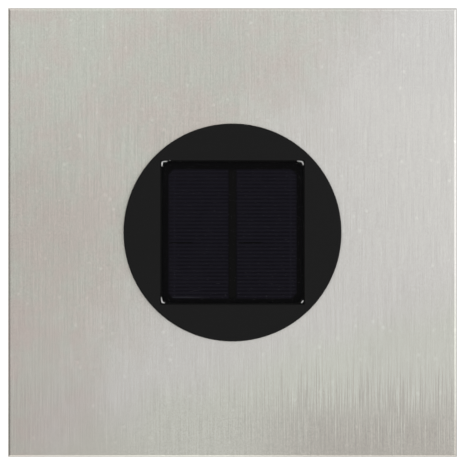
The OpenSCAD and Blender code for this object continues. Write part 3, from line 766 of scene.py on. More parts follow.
# Satin stainless sheet: pale grey, greenish or pinkish in patches, sheen across the lines
# On the hat, HatStainless also paints a cool highlight and a shade along the front edge
HAT_SHEET = HatStainless(
    "satin stainless hat sheet", Slot.SHEET, "C3C5BC", "C6C0B9", 0.22, 1.0, relief_mm=0.0002,
    grain=Grain.FOLDED, contrast=0.19, anisotropy=0.5,
)
POST_SHEET = SatinStainless(
    "satin stainless tube", Slot.SHEET, "C6C6BF", "C8C2BC", 0.32, 1.0, relief_mm=0.0004,
    grain=Grain.UPRIGHT, contrast=0.12,
)
PLATE_SHEET = SatinStainless(
    "satin stainless plate", Slot.SHEET, "C5C4BE", "C7C1BB", 0.34, 1.0, relief_mm=0.0004,
    contrast=0.12,
)
# Weld metal left as welded: duller and rippled, with straw heat tint
WELD_METAL = Finish(
    "weld metal", Slot.SHEET, "B3ADA1", "8C8272", 0.45, 1.0, grain_mm=0.8, relief_mm=0.05
)
# Turned stainless fastener: brighter than the sheet, with fine tool marks
TURNED_STEEL = Finish(
    "turned stainless steel", Slot.FASTENER, "C8C7C3", "ADABA6", 0.26, 1.0, grain_mm=0.5,
    relief_mm=0.004,
)
# EPDM foam: dull black with open cells
EPDM_FOAM = FoamRubber(
    "EPDM foam rubber", Slot.RUBBER, "2B2B2B", "161616", 0.85, specular=0.2, grain_mm=0.6,
    relief_mm=0.08,
)
# Opal acrylic: even milky white with a soft shine
OPAL_ACRYLIC = OpalAcrylic(
    "opal acrylic", Slot.OPAL, "F3F2ED", "F0EFEA", 0.22, relief_mm=0.001
)
# Spark-eroded ABS: flat black with a fine leather-like tooth
BLACK_ABS = Finish(
    "spark-eroded black ABS", Slot.BLACK_ABS, "0C0C0C", "0A0A0A", 0.6, specular=0.15,
    grain_mm=0.25, relief_mm=0.008,
)
# White ABS: slightly warm, satin
WHITE_ABS = Finish(
    "satin white ABS", Slot.WHITE_ABS, "E4E3DD", "DDDCD5", 0.45, grain_mm=0.4, relief_mm=0.008
)
# Black solder mask under the resin, which takes its gloss: paler along the middle strip
BLACK_MASK = PanelMask(
    "black solder mask", Slot.PANEL, "0B0B0C", "0A0A0B", 0.5, specular=0.0, grain_mm=3.0,
    relief_mm=0.002, strip_middle=(0.0, -0.6 * MM, 0.0),
)
# Silicon under the resin: blue-black, mottled
SILICON = SiliconCell(
    "blue-black silicon", Slot.CELL, "131217", "111015", 0.5, specular=0.0, grain_mm=4.0
)
# Printed silver paste: real lines are 0.1 mm wide, and are drawn wider so that they show
SILVER_PASTE = Finish(
    "printed silver paste", Slot.CELL, "1A1920", "18171E", 0.5, specular=0.0, grain_mm=1.2,
    relief_mm=0.002,
)
# Soldered copper ribbon: dark grey metal, with a painted highlight fading from its left end
RIBBON_WITH_PAINTED_HIGHLIGHT = SplitFinish(
    "soldered ribbon", Slot.CELL, "16151B", "141318", 0.5, specular=0.0, grain_mm=1.5,
    relief_mm=0.002, other_colour="2B2B30", split_x=-12.5 * MM, blend_mm=5.0,
)
# Potting resin: clear, mirror-smooth
POTTING_RESIN = ClearCast(
    "potting resin", Slot.RESIN, "FFFFFF", "FAFAFA", 0.04, 1.0, relief_mm=0.002
)
# Silicone in the joint: clear, so it takes the black of the pocket
JOINT_SILICONE = Finish(
    "clear silicone in the joint", Slot.SILICONE, "0D0D0D", "0A0A0A", 0.5, specular=0.06,
    grain_mm=2.0, relief_mm=0.02,
)
# Silicone squeezed out at a corner: its near-white colour is a painted glint
GLINTING_SILICONE = Finish(
    "cured silicone dab", Slot.SILICONE, "FFFFFE", "E4E4E2", 0.3, grain_mm=0.8, relief_mm=0.02
)
# Green solder mask: glossy, with paler tracks
GREEN_MASK = SolderMask(
    "green solder mask", Slot.CIRCUIT, "2E7A45", "1C5A30", 0.3, relief_mm=0.03
)
# Moulded parts of the driver: black chip and coil core to the left, blue capacitor sleeve right
COMPONENT_PLASTIC = SplitFinish(
    "moulded component bodies", Slot.COMPONENT, "232C55", "1D2547", 0.4, grain_mm=0.3,
    other_colour="2A2A2B", split_x=7.8 * MM,
)
# Enamelled copper wire: clear orange-brown, glossy
ENAMELLED_COPPER = Finish(
    "enamelled copper wire", Slot.COMPONENT, "C4713A", "9C5426", 0.25, 1.0, grain_mm=0.6
)
# Capacitor's can: soft bare aluminium
ALUMINIUM = Finish(
    "bare aluminium", Slot.COMPONENT, "C9CACC", "B4B5B7", 0.35, 1.0, grain_mm=0.5
)
# LED epoxy: water-clear body that looks pale yellow from the phosphor in it
LED_EPOXY = ClearMoulding("LED epoxy", Slot.LED, "F5EBC2", "EFE3B2", 0.08)
# Phosphor on the LED's chip: opaque warm yellow
PHOSPHOR = Finish("LED phosphor", Slot.LED, "E8C84A", "D9B43A", 0.7, grain_mm=0.2)
# Clear lens: SAN, faintly cool
CLEAR_LENS = ClearMoulding("clear SAN lens", Slot.LENS, "F7FAFC", "F2F6F9", 0.05)
# PVC insulation: red for plus, black for minus, waxy
LEAD_PVC = SplitFinish(
    "PVC lead insulation", Slot.LEAD, "A31414", "8C0F0F", 0.4, grain_mm=0.6, other_colour="141414"
)
# Nickel plate: warm bright metal
NICKEL = Finish(
    "nickel plate", Slot.NICKEL, "C6C2B8", "A9A498", 0.24, 1.0, grain_mm=0.7, relief_mm=0.004
)
# Solder: bright tin, smooth and drawn up round each lead
SOLDER = Finish("tin solder", Slot.NICKEL, "D0D0D0", "B0B0B0", 0.3, 1.0, grain_mm=0.8)
# Shrink sleeve: printed green, glossy, over bright metal
SLEEVE = BatterySleeve(
    "printed battery sleeve", Slot.SLEEVE, "1F6E45", "1A603B", 0.3, grain_mm=3.0
)


# Repeated pieces, made by Geometry Nodes


def new_object(name: str, data: bpy.types.ID) -> bpy.types.Object:
    """Puts a mesh, camera or lamp into the scene as an object.

    Args:
        name: the object's name.
        data: what it shows.

    Returns:
        The object.
    """
    made = bpy.data.objects.new(name, data)
    bpy.context.scene.collection.objects.link(made)
    return made


@dataclass
class Pattern:
    """Pieces that repeat, laid out by a Geometry Nodes tree whose inputs are the sizes here."""

    name: str
    finish: Finish

    def bake(self) -> bpy.types.Object:
        """Builds the tree, sets its inputs and turns its result into a plain mesh.

        Returns:
            The new object, with its place in its mesh.
        """
        tree = bpy.data.node_groups.new(self.name, "GeometryNodeTree")
        tree.interface.new_socket("Geometry", in_out="OUTPUT", socket_type="NodeSocketGeometry")
        maker = new_object(self.name + "_maker", bpy.data.meshes.new(self.name))
        modifier = maker.modifiers.new("Layout", "NODES")
        sizes = {}
        for size in fields(self)[len(fields(Pattern)) :]:
            value = getattr(self, size.name)
            kind = "NodeSocket" + {int: "Int", float: "Float", tuple: "Vector"}[type(value)]
            socket = tree.interface.new_socket(size.name, in_out="INPUT", socket_type=kind)
            sizes[socket.identifier] = value
        nodes = Nodes(tree)
        laid = self.layout(nodes, nodes.add("NodeGroupInput").outputs)
        real = nodes.add("GeometryNodeRealizeInstances", laid)
        finish = {"Material": self.finish.material()}
        nodes.add("NodeGroupOutput", nodes.add("GeometryNodeSetMaterial", real, finish))
        modifier.node_group = tree
        for identifier, value in sizes.items():
            modifier[identifier] = value
        maker.update_tag()
        graph = bpy.context.evaluated_depsgraph_get()
        mesh = bpy.data.meshes.new_from_object(maker.evaluated_get(graph))
        bpy.data.objects.remove(maker)
        mesh.name = self.name
        return new_object(self.name, mesh)

    def layout(self, nodes: Nodes, sizes: Outputs) -> Signal:
        """Lays the pieces out as instances; each kind of pattern has its own way."""
        raise NotImplementedError


@dataclass
class Bars(Pattern):
    """Rows of equal bars, such as the lines on a cell or the legs of a chip."""

    size: Triple
    count: int
    step: Triple
    first: Triple
    rows: int = 1
    row_step: Triple = (0.0, 0.0, 0.0)

    def unit(self, nodes: Nodes, size: Signal) -> Signal:
        """The piece that repeats: a block."""
        return nodes.add("GeometryNodeMeshCube", size)

    def layout(self, nodes: Nodes, sizes: Outputs) -> Signal:
        """Puts a piece at each step of a row, and repeats the row.

        Args:
            nodes: the pattern's nodes.
            sizes: the tree's inputs by name.

        Returns:
            The pieces.
        """
        laid = self.unit(nodes, sizes["size"])
        row = {"Count": sizes["count"], "Offset": sizes["step"], "Start Location": sizes["first"]}
        rows = {"Count": sizes["rows"], "Offset": sizes["row_step"]}
        for line in (row, rows):
            points = nodes.add("GeometryNodeMeshLine", line)
            laid = nodes.add("GeometryNodeInstanceOnPoints", points, {"Instance": laid})
        return laid


@dataclass
class Domes(Bars):
    """Rows of equal domes, such as solder joints."""

    def unit(self, nodes: Nodes, size: Signal) -> Signal:
        """Makes the piece that repeats: a round lump squashed to its size.

        Args:
            nodes: the pattern's nodes.
            size: its width, depth and height.

        Returns:
            The lump.
        """
        ball = nodes.add("GeometryNodeMeshUVSphere", {"Segments": 16, "Rings": 10})
        squashed = nodes.add("GeometryNodeTransform", ball, {"Scale": size})
        return nodes.add("GeometryNodeSetShadeSmooth", squashed)


@dataclass
class Winding(Pattern):
    """A wire wound in a helix, or a screw thread."""

    turns: float
    turn_steps: int
    radius: float
    length: float
    wire_sides: int
    wire_radius: float
    start: Triple
    turned: Triple = (0.0, 0.0, 0.0)

    def layout(self, nodes: Nodes, sizes: Outputs) -> Signal:
        """Sweeps a round wire along a spiral and turns it to its axis.

        Args:
            nodes: the pattern's nodes.
            sizes: the tree's inputs by name.

        Returns:
            The pieces.
        """
        helix = {"Resolution": sizes["turn_steps"], "Rotations": sizes["turns"]}
        width = {"Start Radius": sizes["radius"], "End Radius": sizes["radius"]}
        height = {"Height": sizes["length"]}
        spiral = nodes.add("GeometryNodeCurveSpiral", {**helix, **width, **height})
        circle = {"Resolution": sizes["wire_sides"], "Radius": sizes["wire_radius"]}
        profile = nodes.add("GeometryNodeCurvePrimitiveCircle", circle)
        skin = {"Profile Curve": profile, "Fill Caps": True}
        wire = nodes.add("GeometryNodeCurveToMesh", spiral, skin)
        place = {"Translation": sizes["start"], "Rotation": sizes["turned"]}
        return nodes.add("GeometryNodeTransform", wire, place)


@dataclass
class Beads(Pattern):
    """Rows of overlapping weld beads, the same at each quarter turn of the light."""

    radius: float
    count: int
    first: Triple
    step: Triple
    seed: int
    smallest: float = 0.85
    largest: float = 1.1

    def layout(self, nodes: Nodes, sizes: Outputs) -> Signal:
        """Puts uneven round beads along a line and repeats the line four times round Z.

        Args:
            nodes: the pattern's nodes.
            sizes: the tree's inputs by name.

        Returns:
            The pieces.
        """
        ball = {"Radius": sizes["radius"], "Subdivisions": 2}
        bead = nodes.add("GeometryNodeMeshIcoSphere", ball)
        line = {"Count": sizes["count"], "Start Location": sizes["first"], "Offset": sizes["step"]}
        points = nodes.add("GeometryNodeMeshLine", line)
        swell = {"Min": sizes["smallest"], "Max": sizes["largest"], "Seed": sizes["seed"]}
        uneven = nodes.add("FunctionNodeRandomValue", swell, data_type="FLOAT")
        beads = {"Instance": bead, "Scale": uneven}
        row = nodes.add("GeometryNodeInstanceOnPoints", points, beads)
        turns = nodes.add("GeometryNodeMeshLine", {"Count": 4, "Offset": (0.0, 0.0, 0.0)})
        index = nodes.add("GeometryNodeInputIndex")
        angle = nodes.add("ShaderNodeMath", index, QUARTER, operation="MULTIPLY")
        around = {"Instance": row, "Rotation": nodes.add("ShaderNodeCombineXYZ", {"Z": angle})}
        return nodes.add("GeometryNodeInstanceOnPoints", turns, around)


# Sub-assemblies


@dataclass
class SubAssembly:
    """A group of pieces that are dressed and detailed together."""

    body: Body

    def dress(self, finish: Finish, *nodes: str) -> None:
        """Gives carried-over nodes a finish.

        Args:
            finish: the finish.
            nodes: names of the CAD nodes.
        """
        for name in nodes:
            mesh = bpy.data.objects[name].data
            mesh.materials.clear()
            mesh.materials.append(finish.material())
            LOG.info("%s: %s", name, finish.name)

    def add(self, piece: bpy.types.Object, finish: Finish) -> None:
        """Lets a new piece ride on the sub-assembly's body and gives it its finish's material.

        Args:
            piece: the new object.
            finish: its finish.
        """
        if not piece.data.materials:
            piece.data.materials.append(finish.material())
        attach(piece, self.body.value)
        LOG.info("%s: %d faces, %s", piece.name, len(piece.data.polygons), finish.name)

    def lay(self, pattern: Pattern) -> None:
        """Makes the pieces of a pattern and adds them."""
        self.add(pattern.bake(), pattern.finish)

    def build(self) -> None:
        """Makes the sub-assembly's own pieces and dresses all of it."""
        raise NotImplementedError


def mesh_piece(name: str, mesh: bmesh.types.BMesh, smooth: bool = False) -> bpy.types.Object:
    """Turns a bmesh into an object in the scene.

    Args:
        name: the object's name.
        mesh: its faces, freed afterwards.
        smooth: whether its faces are shaded smooth.

    Returns:
        The object.
    """
    bmesh.ops.recalc_face_normals(mesh, faces=mesh.faces)
    for face in mesh.faces:
        face.smooth = smooth
    data = bpy.data.meshes.new(name)
    mesh.to_mesh(data)
    mesh.free()
    return new_object(name, data)


def bridge(mesh: bmesh.types.BMesh, rings: list[list[bmesh.types.BMVert]]) -> None:
    """Joins rings of points into a closed skin, with a face on each end.

    Args:
        mesh: the mesh that gets the faces.
        rings: the rings, each with the same number of points.
    """
    sides = len(rings[0])
    for first, second in zip(rings, rings[1:]):
        for k in range(sides):
            after = (k + 1) % sides
            mesh.faces.new((first[k], first[after], second[after], second[k]))
    mesh.faces.new(rings[0])
    mesh.faces.new(list(reversed(rings[-1])))


@dataclass
class Hat(SubAssembly):
    """The folded hat, with its corner seams welded on the inside."""

    body: Body = Body.LIGHT
    sheet_t: float = 0.8 * MM
    bead_r: float = 0.9 * MM
    bead_in: float = 0.4 * MM
    bead_pitch: float = 0.8 * MM
    weld_from: float = 1.2 * MM
    weld_short: float = 3.2 * MM

    def build(self) -> None:
        """Dresses the hat and welds its four corners inside."""
        low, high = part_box("hat")
        self.dress(replace(HAT_SHEET, top_z=high.z), "hat")
        corner = high.x - self.sheet_t - self.bead_in
        count = int((high.z - low.z - self.weld_short) / self.bead_pitch)
        first = (corner, corner, low.z + self.weld_from)
        step = (0.0, 0.0, self.bead_pitch)
        self.lay(Beads("hat_corner_welds", WELD_METAL, self.bead_r, count, first, step, seed=4))


@dataclass
class Head(SubAssembly):
    """Diffuser, carrier and the studs that pull the head together."""

    body: Body = Body.LIGHT
    thread_pitch: float = 0.7 * MM
    thread_l: float = 20 * MM
    thread_ridge: float = 0.12 * MM
    stud_r: float = 2 * MM
    stud_foot_r: float = 2.8 * MM

    def build(self) -> None:
        """Dresses the head and cuts threads on the studs' lower ends."""
        self.dress(OPAL_ACRYLIC, "diffuser")
        self.dress(EPDM_FOAM, "upper_gasket", "lower_gasket")
        self.dress(PLATE_SHEET, "carrier")
        self.dress(TURNED_STEEL, "hat_studs", "stud_washers", "stud_nuts", "head_screws")
        carrier_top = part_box("carrier")[1].z
        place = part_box("hat_studs")[1].x - self.stud_foot_r
        turns = self.thread_l / self.thread_pitch
        shaft = {"radius": self.stud_r, "length": self.thread_l}
        ridge = {"turn_steps": 16, "wire_sides": 4, "wire_radius": self.thread_ridge}
        for i, (side_x, side_y) in enumerate(CORNERS, 1):
            start = (side_x * place, side_y * place, carrier_top)
            name = f"stud_thread_{i}"
            self.lay(Winding(name, TURNED_STEEL, turns, start=start, **shaft, **ridge))


@dataclass
class PostAndFoot(SubAssembly):
    """The post, its screws, the socket and the base plate."""

    body: Body = Body.LIGHT
    socket_wall: float = 2 * MM
    bead_r: float = 1.6 * MM
    bead_pitch: float = 1.5 * MM
    weld_short: float = 12.8 * MM

    def build(self) -> None:
        """Dresses the lower half and welds the socket to the base plate on its inside."""
        self.dress(POST_SHEET, "post", "socket")
        self.dress(PLATE_SHEET, "base_plate")
        self.dress(TURNED_STEEL, "foot_screws")
        low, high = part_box("socket")
        wall = high.x - self.socket_wall
        count = int((2 * wall - self.weld_short) / self.bead_pitch)
        first = (wall, -(count - 1) * self.bead_pitch / 2, low.z)
        step = (0.0, self.bead_pitch, 0.0)
        self.lay(Beads("socket_weld", WELD_METAL, self.bead_r, count, first, step, seed=9))


@dataclass
class SolarPanel(SubAssembly):
    """The resin-cast panel in the module's pocket."""

    body: Body = Body.MODULE
    column_gap: float = 3 * MM
    line_pitch: float = 1.43 * MM
    line_w: float = 0.66 * MM
    line_t: float = 0.02 * MM
    line_short: float = 0.6 * MM
    busbar_from_edge: float = 2.4 * MM
    busbar_w: float = 0.5 * MM
    busbar_t: float = 0.028 * MM
    busbar_short: float = 0.8 * MM
    ribbon_x: Pair = (4.3 * MM, 25 * MM)
    ribbon_y: float = 2.84 * MM
    ribbon_w: float = 0.35 * MM
    ribbon_t: float = 0.04 * MM
    ribbon_edge: float = 0.006 * MM
    seam_y: float = -3.97 * MM
    seam: Triple = (9 * MM, 0.6 * MM, 0.05 * MM)
    seam_x: Pair = (-20.1 * MM, 7.1 * MM)
    cut_corner: float = 2.2 * MM
    mask_t: float = 0.024 * MM
    mask_sink: float = 0.02 * MM
    resin_corner: float = 3 * MM
    resin_rim: float = 0.15 * MM
    resin_sink: float = 0.04 * MM
    resin_steps: int = 8
    dab_r: float = 0.29 * MM
    dab_sides: int = 10
    # Height of a dab's middle line, and its least radius, in shares of its radius
    dab_rise: float = 0.6
    dab_least: float = 0.4

    def build(self) -> None:
        """Dresses the panel and adds the resin, printed lines, ribbon and silicone dabs."""
        self.dress(BLACK_MASK, "panel_board")
        self.dress(SILICON, "solar_cells")
        self.dress(JOINT_SILICONE, "panel_sealant")
        self.resin()
        self.printing()
        self.cut_corners()
        self.end_ribbon()
        self.corner_dabs()

    def resin(self) -> None:
        """Casts the resin as one clear slab with a rounded rim.

        Its underside lies just inside the board, so that the board's face is what is seen.
        """
        low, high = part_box("panel_resin")
        slab = bmesh.new()
        base = []
        for quarter, sides in enumerate(CORNERS):
            middle = Vector(sides) * (high.x - self.resin_corner)
            for step in range(self.resin_steps + 1):
                angle = (quarter + step / self.resin_steps) * QUARTER
                reach = Vector((math.cos(angle), math.sin(angle))) * self.resin_corner
                base.append(slab.verts.new((*(middle + reach), low.z - self.resin_sink)))
        grown = bmesh.ops.extrude_face_region(slab, geom=[slab.faces.new(base)])
        raised = [item for item in grown["geom"] if isinstance(item, bmesh.types.BMVert)]
        for vertex in raised:
            vertex.co.z = high.z
        rim = [edge for edge in slab.edges if all(v in raised for v in edge.verts)]
        bmesh.ops.bevel(slab, geom=rim, offset=self.resin_rim, segments=3, affect="EDGES")
        piece = mesh_piece("resin_slab", slab)
        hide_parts("panel_resin")
        self.add(piece, POTTING_RESIN)

    def printing(self) -> None:
        """Prints what shows on both columns of cells.

        Fine lines cross each column, a busbar runs near its outer edge, and at its left a dark
        seam shows where two cells meet.
        """
        low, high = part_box("solar_cells")
        column_w = (high.x - low.x - self.column_gap) / 2
        count = int((high.y - low.y) / self.line_pitch)
        margin = (high.y - low.y - (count - 1) * self.line_pitch) / 2
        busbar_x = high.x - self.busbar_from_edge
        busbar_l = high.y - low.y - self.busbar_short
        seam_left, seam_right = self.seam_x
        lines = Bars(
            "cell_lines",
            SILVER_PASTE,
            size=(column_w - self.line_short, self.line_w, self.line_t),
            count=count,
            step=(0.0, self.line_pitch, 0.0),
            first=(low.x + column_w / 2, low.y + margin, high.z),
            rows=2,
            row_step=(column_w + self.column_gap, 0.0, 0.0),
        )
        busbars = Bars(
            "cell_busbars",
            SILVER_PASTE,
            size=(self.busbar_w, busbar_l, self.busbar_t),
            count=2,
            step=(2 * busbar_x, 0.0, 0.0),
            first=(-busbar_x, (high.y + low.y) / 2, high.z),
        )
        seams = Bars(
            "cell_seams",
            BLACK_MASK,
            size=self.seam,
            count=2,
            step=(seam_right - seam_left, 0.0, 0.0),
            first=(seam_left, self.seam_y, high.z),
        )
        for pattern in (lines, busbars, seams):
            self.lay(pattern)

    def cut_corners(self) -> None:
        """Covers the outer corners of the cells with mask, so that they look cut off."""
        low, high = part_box("solar_cells")
        levels = (high.z - self.mask_sink, high.z + self.mask_t)
        masks = bmesh.new()
        for x, inward_x in ((low.x, self.cut_corner), (high.x, -self.cut_corner)):
            for y, inward_y in ((low.y, self.cut_corner), (high.y, -self.cut_corner)):
                corners = ((x, y), (x + inward_x, y), (x, y + inward_y))
                bridge(masks, [[masks.verts.new((*c, z)) for c in corners] for z in levels])
        self.add(mesh_piece("cell_corner_masks", masks), BLACK_MASK)

    def end_ribbon(self) -> None:
        """Lays the ribbon joining the cells at the left column's front, with a painted highlight.
        """
        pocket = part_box("panel_sealant")[0]
        start, end = self.ribbon_x
        ribbon = bmesh.new()
        size = (end - start, self.ribbon_w, self.ribbon_t, 1.0)
        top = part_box("solar_cells")[1].z
        middle = Vector((pocket.x + (start + end) / 2, pocket.y + self.ribbon_y, top))
        place = Matrix.Translation(middle) @ Matrix.Diagonal(size)
        bmesh.ops.create_cube(ribbon, size=1.0, matrix=place)
        edges = ribbon.edges[:]
        bmesh.ops.bevel(ribbon, geom=edges, offset=self.ribbon_edge, segments=1, affect="EDGES")
        self.add(mesh_piece("cell_ribbon", ribbon), RIBBON_WITH_PAINTED_HIGHLIGHT)

    def corner_dabs(self) -> None:
        """Squeezes silicone out at the pocket's four corners, unevenly, painted white as a glint.
        """
        low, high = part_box("panel_sealant")
        level = high.z + self.dab_rise * self.dab_r
        # Each dab: its corner's sides, its size, and its middle line in millimetres inwards
        runs = (
            (-1, 1, 1.0, ((0.55, 2.3), (0.6, 1.6), (0.64, 0.95), (0.75, 0.62), (1.1, 0.48))),
            (-1, 1, 0.7, ((0.8, 0.55), (1.4, 0.42), (2.0, 0.36), (2.7, 0.32))),
            (-1, 1, 0.6, ((3.5, -0.02), (3.7, 0.0), (3.9, 0.02))),
            (1, 1, 1.0, ((1.9, 0.36), (1.3, 0.42), (0.82, 0.56), (0.66, 1.0), (0.5, 1.8))),
            (1, 1, 0.7, ((1.1, 0.5), (1.6, 0.38), (2.2, 0.3), (2.9, 0.24))),
            (-1, -1, 1.0, ((0.42, 2.2), (0.52, 1.5), (0.7, 0.95), (1.0, 0.74), (1.7, 0.7))),
            (-1, -1, 0.6, ((0.34, 2.9), (0.38, 2.4), (0.45, 1.9))),
            (1, -1, 0.9, ((1.3, 0.66), (1.05, 0.85), (0.75, 1.2), (0.48, 1.7))),
        )
        dabs = bmesh.new()
        for side_x, side_y, size, run in runs:
            corner = Vector((side_x * high.x, high.y if side_y > 0 else low.y, level))
            path = [corner - Vector((side_x * x, side_y * y, 0)) * MM for x, y in run]
            self.dab(dabs, path, size * self.dab_r)
        self.add(mesh_piece("silicone_dabs", dabs, smooth=True), GLINTING_SILICONE)

    def dab(self, mesh: bmesh.types.BMesh, path: list[Vector], thick: float) -> None:
        """Adds one closed bead of silicone along a level path, tapered at both ends.

        Args:
            mesh: the mesh that gets the bead.
            path: its middle line.
            thick: its radius where it is thickest.
        """
        up = Vector(Z_AXIS)
        turns = [math.tau * k / self.dab_sides for k in range(self.dab_sides)]
        rings = []
        for i, point in enumerate(path):
            swell = math.sin(math.pi * (i + 0.7) / (len(path) + 0.4))
            radius = thick * (self.dab_least + (1 - self.dab_least) * swell)
            ahead = (path[min(i + 1, len(path) - 1)] - path[max(i - 1, 0)]).normalized()
            offsets = [ahead.cross(up) * math.cos(a) + up * math.sin(a) for a in turns]
            rings.append([mesh.verts.new(point + offset * radius) for offset in offsets])
        bridge(mesh, rings)


@dataclass
class ModuleShell(SubAssembly):
    """Moulded housing and base of the solar module."""

    body: Body = Body.MODULE

    def build(self) -> None:
        """Dresses the module's shells, seals and screws."""
        self.dress(BLACK_ABS, "module_housing", "switch_slider")
        self.dress(WHITE_ABS, "module_base", "battery_cover")
        self.dress(EPDM_FOAM, "module_gasket", "module_seal", "cover_seal")
        self.dress(TURNED_STEEL, "module_screws", "cover_screws", "board_screws")


@dataclass
class Driver(SubAssembly):
    """Circuit board with its parts, the LEDs, the lens, the leads and the switch."""

    body: Body = Body.MODULE
    coil_x: float = 2 * MM
    coil_r: float = 2 * MM
    wound_l: float = 7 * MM
    coil_wire_r: float = 0.18 * MM
    coil_pitch: float = 0.378 * MM
    chip: Triple = (-10 * MM, 5 * MM, 4 * MM)
    legs: int = 4
    leg: Triple = (0.4 * MM, 0.9 * MM, 0.25 * MM)
    leg_out: float = 0.27 * MM
    capacitor_r: float = 2.4 * MM
    rim_in: float = 0.25 * MM
    rim_slope: float = 0.15 * MM
    rim_h: float = 0.16 * MM
    rim_sides: int = 40
    led_joint: Triple = (0.75 * MM, 0.75 * MM, 0.5 * MM)
    lead_joint: Triple = (1.3 * MM, 1.1 * MM, 0.6 * MM)
    lead_end: float = 0.01 * MM
    leg_pitch: float = 2.54 * MM
    phosphor: Triple = (0.9 * MM, 0.9 * MM, 0.35 * MM)
    phosphor_z: float = 3.4 * MM

    def build(self) -> None:
        """Dresses the driver and adds its small parts, solder and LED chips."""
        self.dress(GREEN_MASK, "circuit_board")
        self.dress(COMPONENT_PLASTIC, "driver_parts")
        self.dress(LED_EPOXY, "leds")
        self.dress(CLEAR_LENS, "lens")
        self.dress(LEAD_PVC, "panel_leads", "battery_leads")
        self.dress(NICKEL, "switch_body")
        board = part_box("circuit_board")[1].z
        self.small_parts(board)
        self.led_details(board)

    def small_parts(self, board: float) -> None:
        """Winds the coil, gives the chip its legs, and puts the bare top on the capacitor.

        Args:
            board: height of the board's upper face.
        """
        low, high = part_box("driver_parts")
        middle_y = (low.y + high.y) / 2
        chip_x, width, depth = self.chip
        leg_step = width / self.legs
        coil = Winding(
            "coil_winding",
            ENAMELLED_COPPER,
            turns=self.wound_l / self.coil_pitch,
            turn_steps=20,
            radius=self.coil_r,
            length=self.wound_l,
            wire_sides=6,
            wire_radius=self.coil_wire_r,
            start=(self.coil_x - self.wound_l / 2, middle_y, board + self.coil_r),
            turned=(0.0, QUARTER, 0.0),
        )
        legs = Bars(
            "chip_legs",
            SOLDER,
            size=self.leg,
            count=self.legs,
            step=(leg_step, 0.0, 0.0),
            first=(
                chip_x - (self.legs - 1) * leg_step / 2,
                middle_y - depth / 2 - self.leg_out,
                board + self.leg[2] / 2,
            ),
            rows=2,
            row_step=(0.0, depth + 2 * self.leg_out, 0.0),
        )
        self.lay(coil)
        self.lay(legs)
        top = bmesh.new()
        foot_r = self.capacitor_r - self.rim_in
        bmesh.ops.create_cone(
            top,
            cap_ends=True,
            segments=self.rim_sides,
            radius1=foot_r,
            radius2=foot_r - self.rim_slope,
            depth=self.rim_h,
            matrix=Matrix.Translation((high.x - self.capacitor_r, middle_y, high.z)),
        )
        self.add(mesh_piece("capacitor_top", top), ALUMINIUM)

    def led_details(self, board: float) -> None:
        """Solders the LEDs' legs and the leads' ends, and sets a chip inside each LED.

        Args:
            board: height of the board's upper face.
        """
        low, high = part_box("leds")
        middle_y = (low.y + high.y) / 2
        spacing = high.x - low.x - (high.y - low.y)
        self.lay(
            Domes(
                "led_joints",
                SOLDER,
                size=self.led_joint,
                count=2,
                step=(self.leg_pitch, 0.0, 0.0),
                first=(-spacing / 2 - self.leg_pitch / 2, middle_y, board),
                rows=2,
                row_step=(spacing, 0.0, 0.0),
            )
        )
        rows = []
        for name in ("panel_leads", "battery_leads"):
            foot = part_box(name)[0].z + self.lead_end
            points = (vertex.co for vertex in bpy.data.objects[name].data.vertices)
            ends = [Vector(point) for point in points if point.z < foot and point.x > 0]
            end = sum(ends, Vector()) / len(ends)
            rows.append((f"{name}_joints", SOLDER, self.lead_joint, (end.x, end.y, board)))
        chip = (spacing / 2, middle_y, low.z + self.phosphor_z)
        rows.append(("led_phosphor", PHOSPHOR, self.phosphor, chip))
        for name, finish, size, (x, y, z) in rows:
            self.lay(Domes(name, finish, size, 2, step=(2 * x, 0.0, 0.0), first=(-x, y, z)))


@dataclass
class BatteryBay(SubAssembly):
    """The battery and its contacts."""

    body: Body = Body.MODULE

    def build(self) -> None:
        """Dresses the battery and its contacts."""
        self.dress(NICKEL, "contact_spring", "contact_plates")
        low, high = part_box("battery")
        middle = (low + high) / 2
        axis = (0.0, middle.y, middle.z)
        self.dress(replace(SLEEVE, axis=axis, terminal_x=high.x), "battery")


# Studio


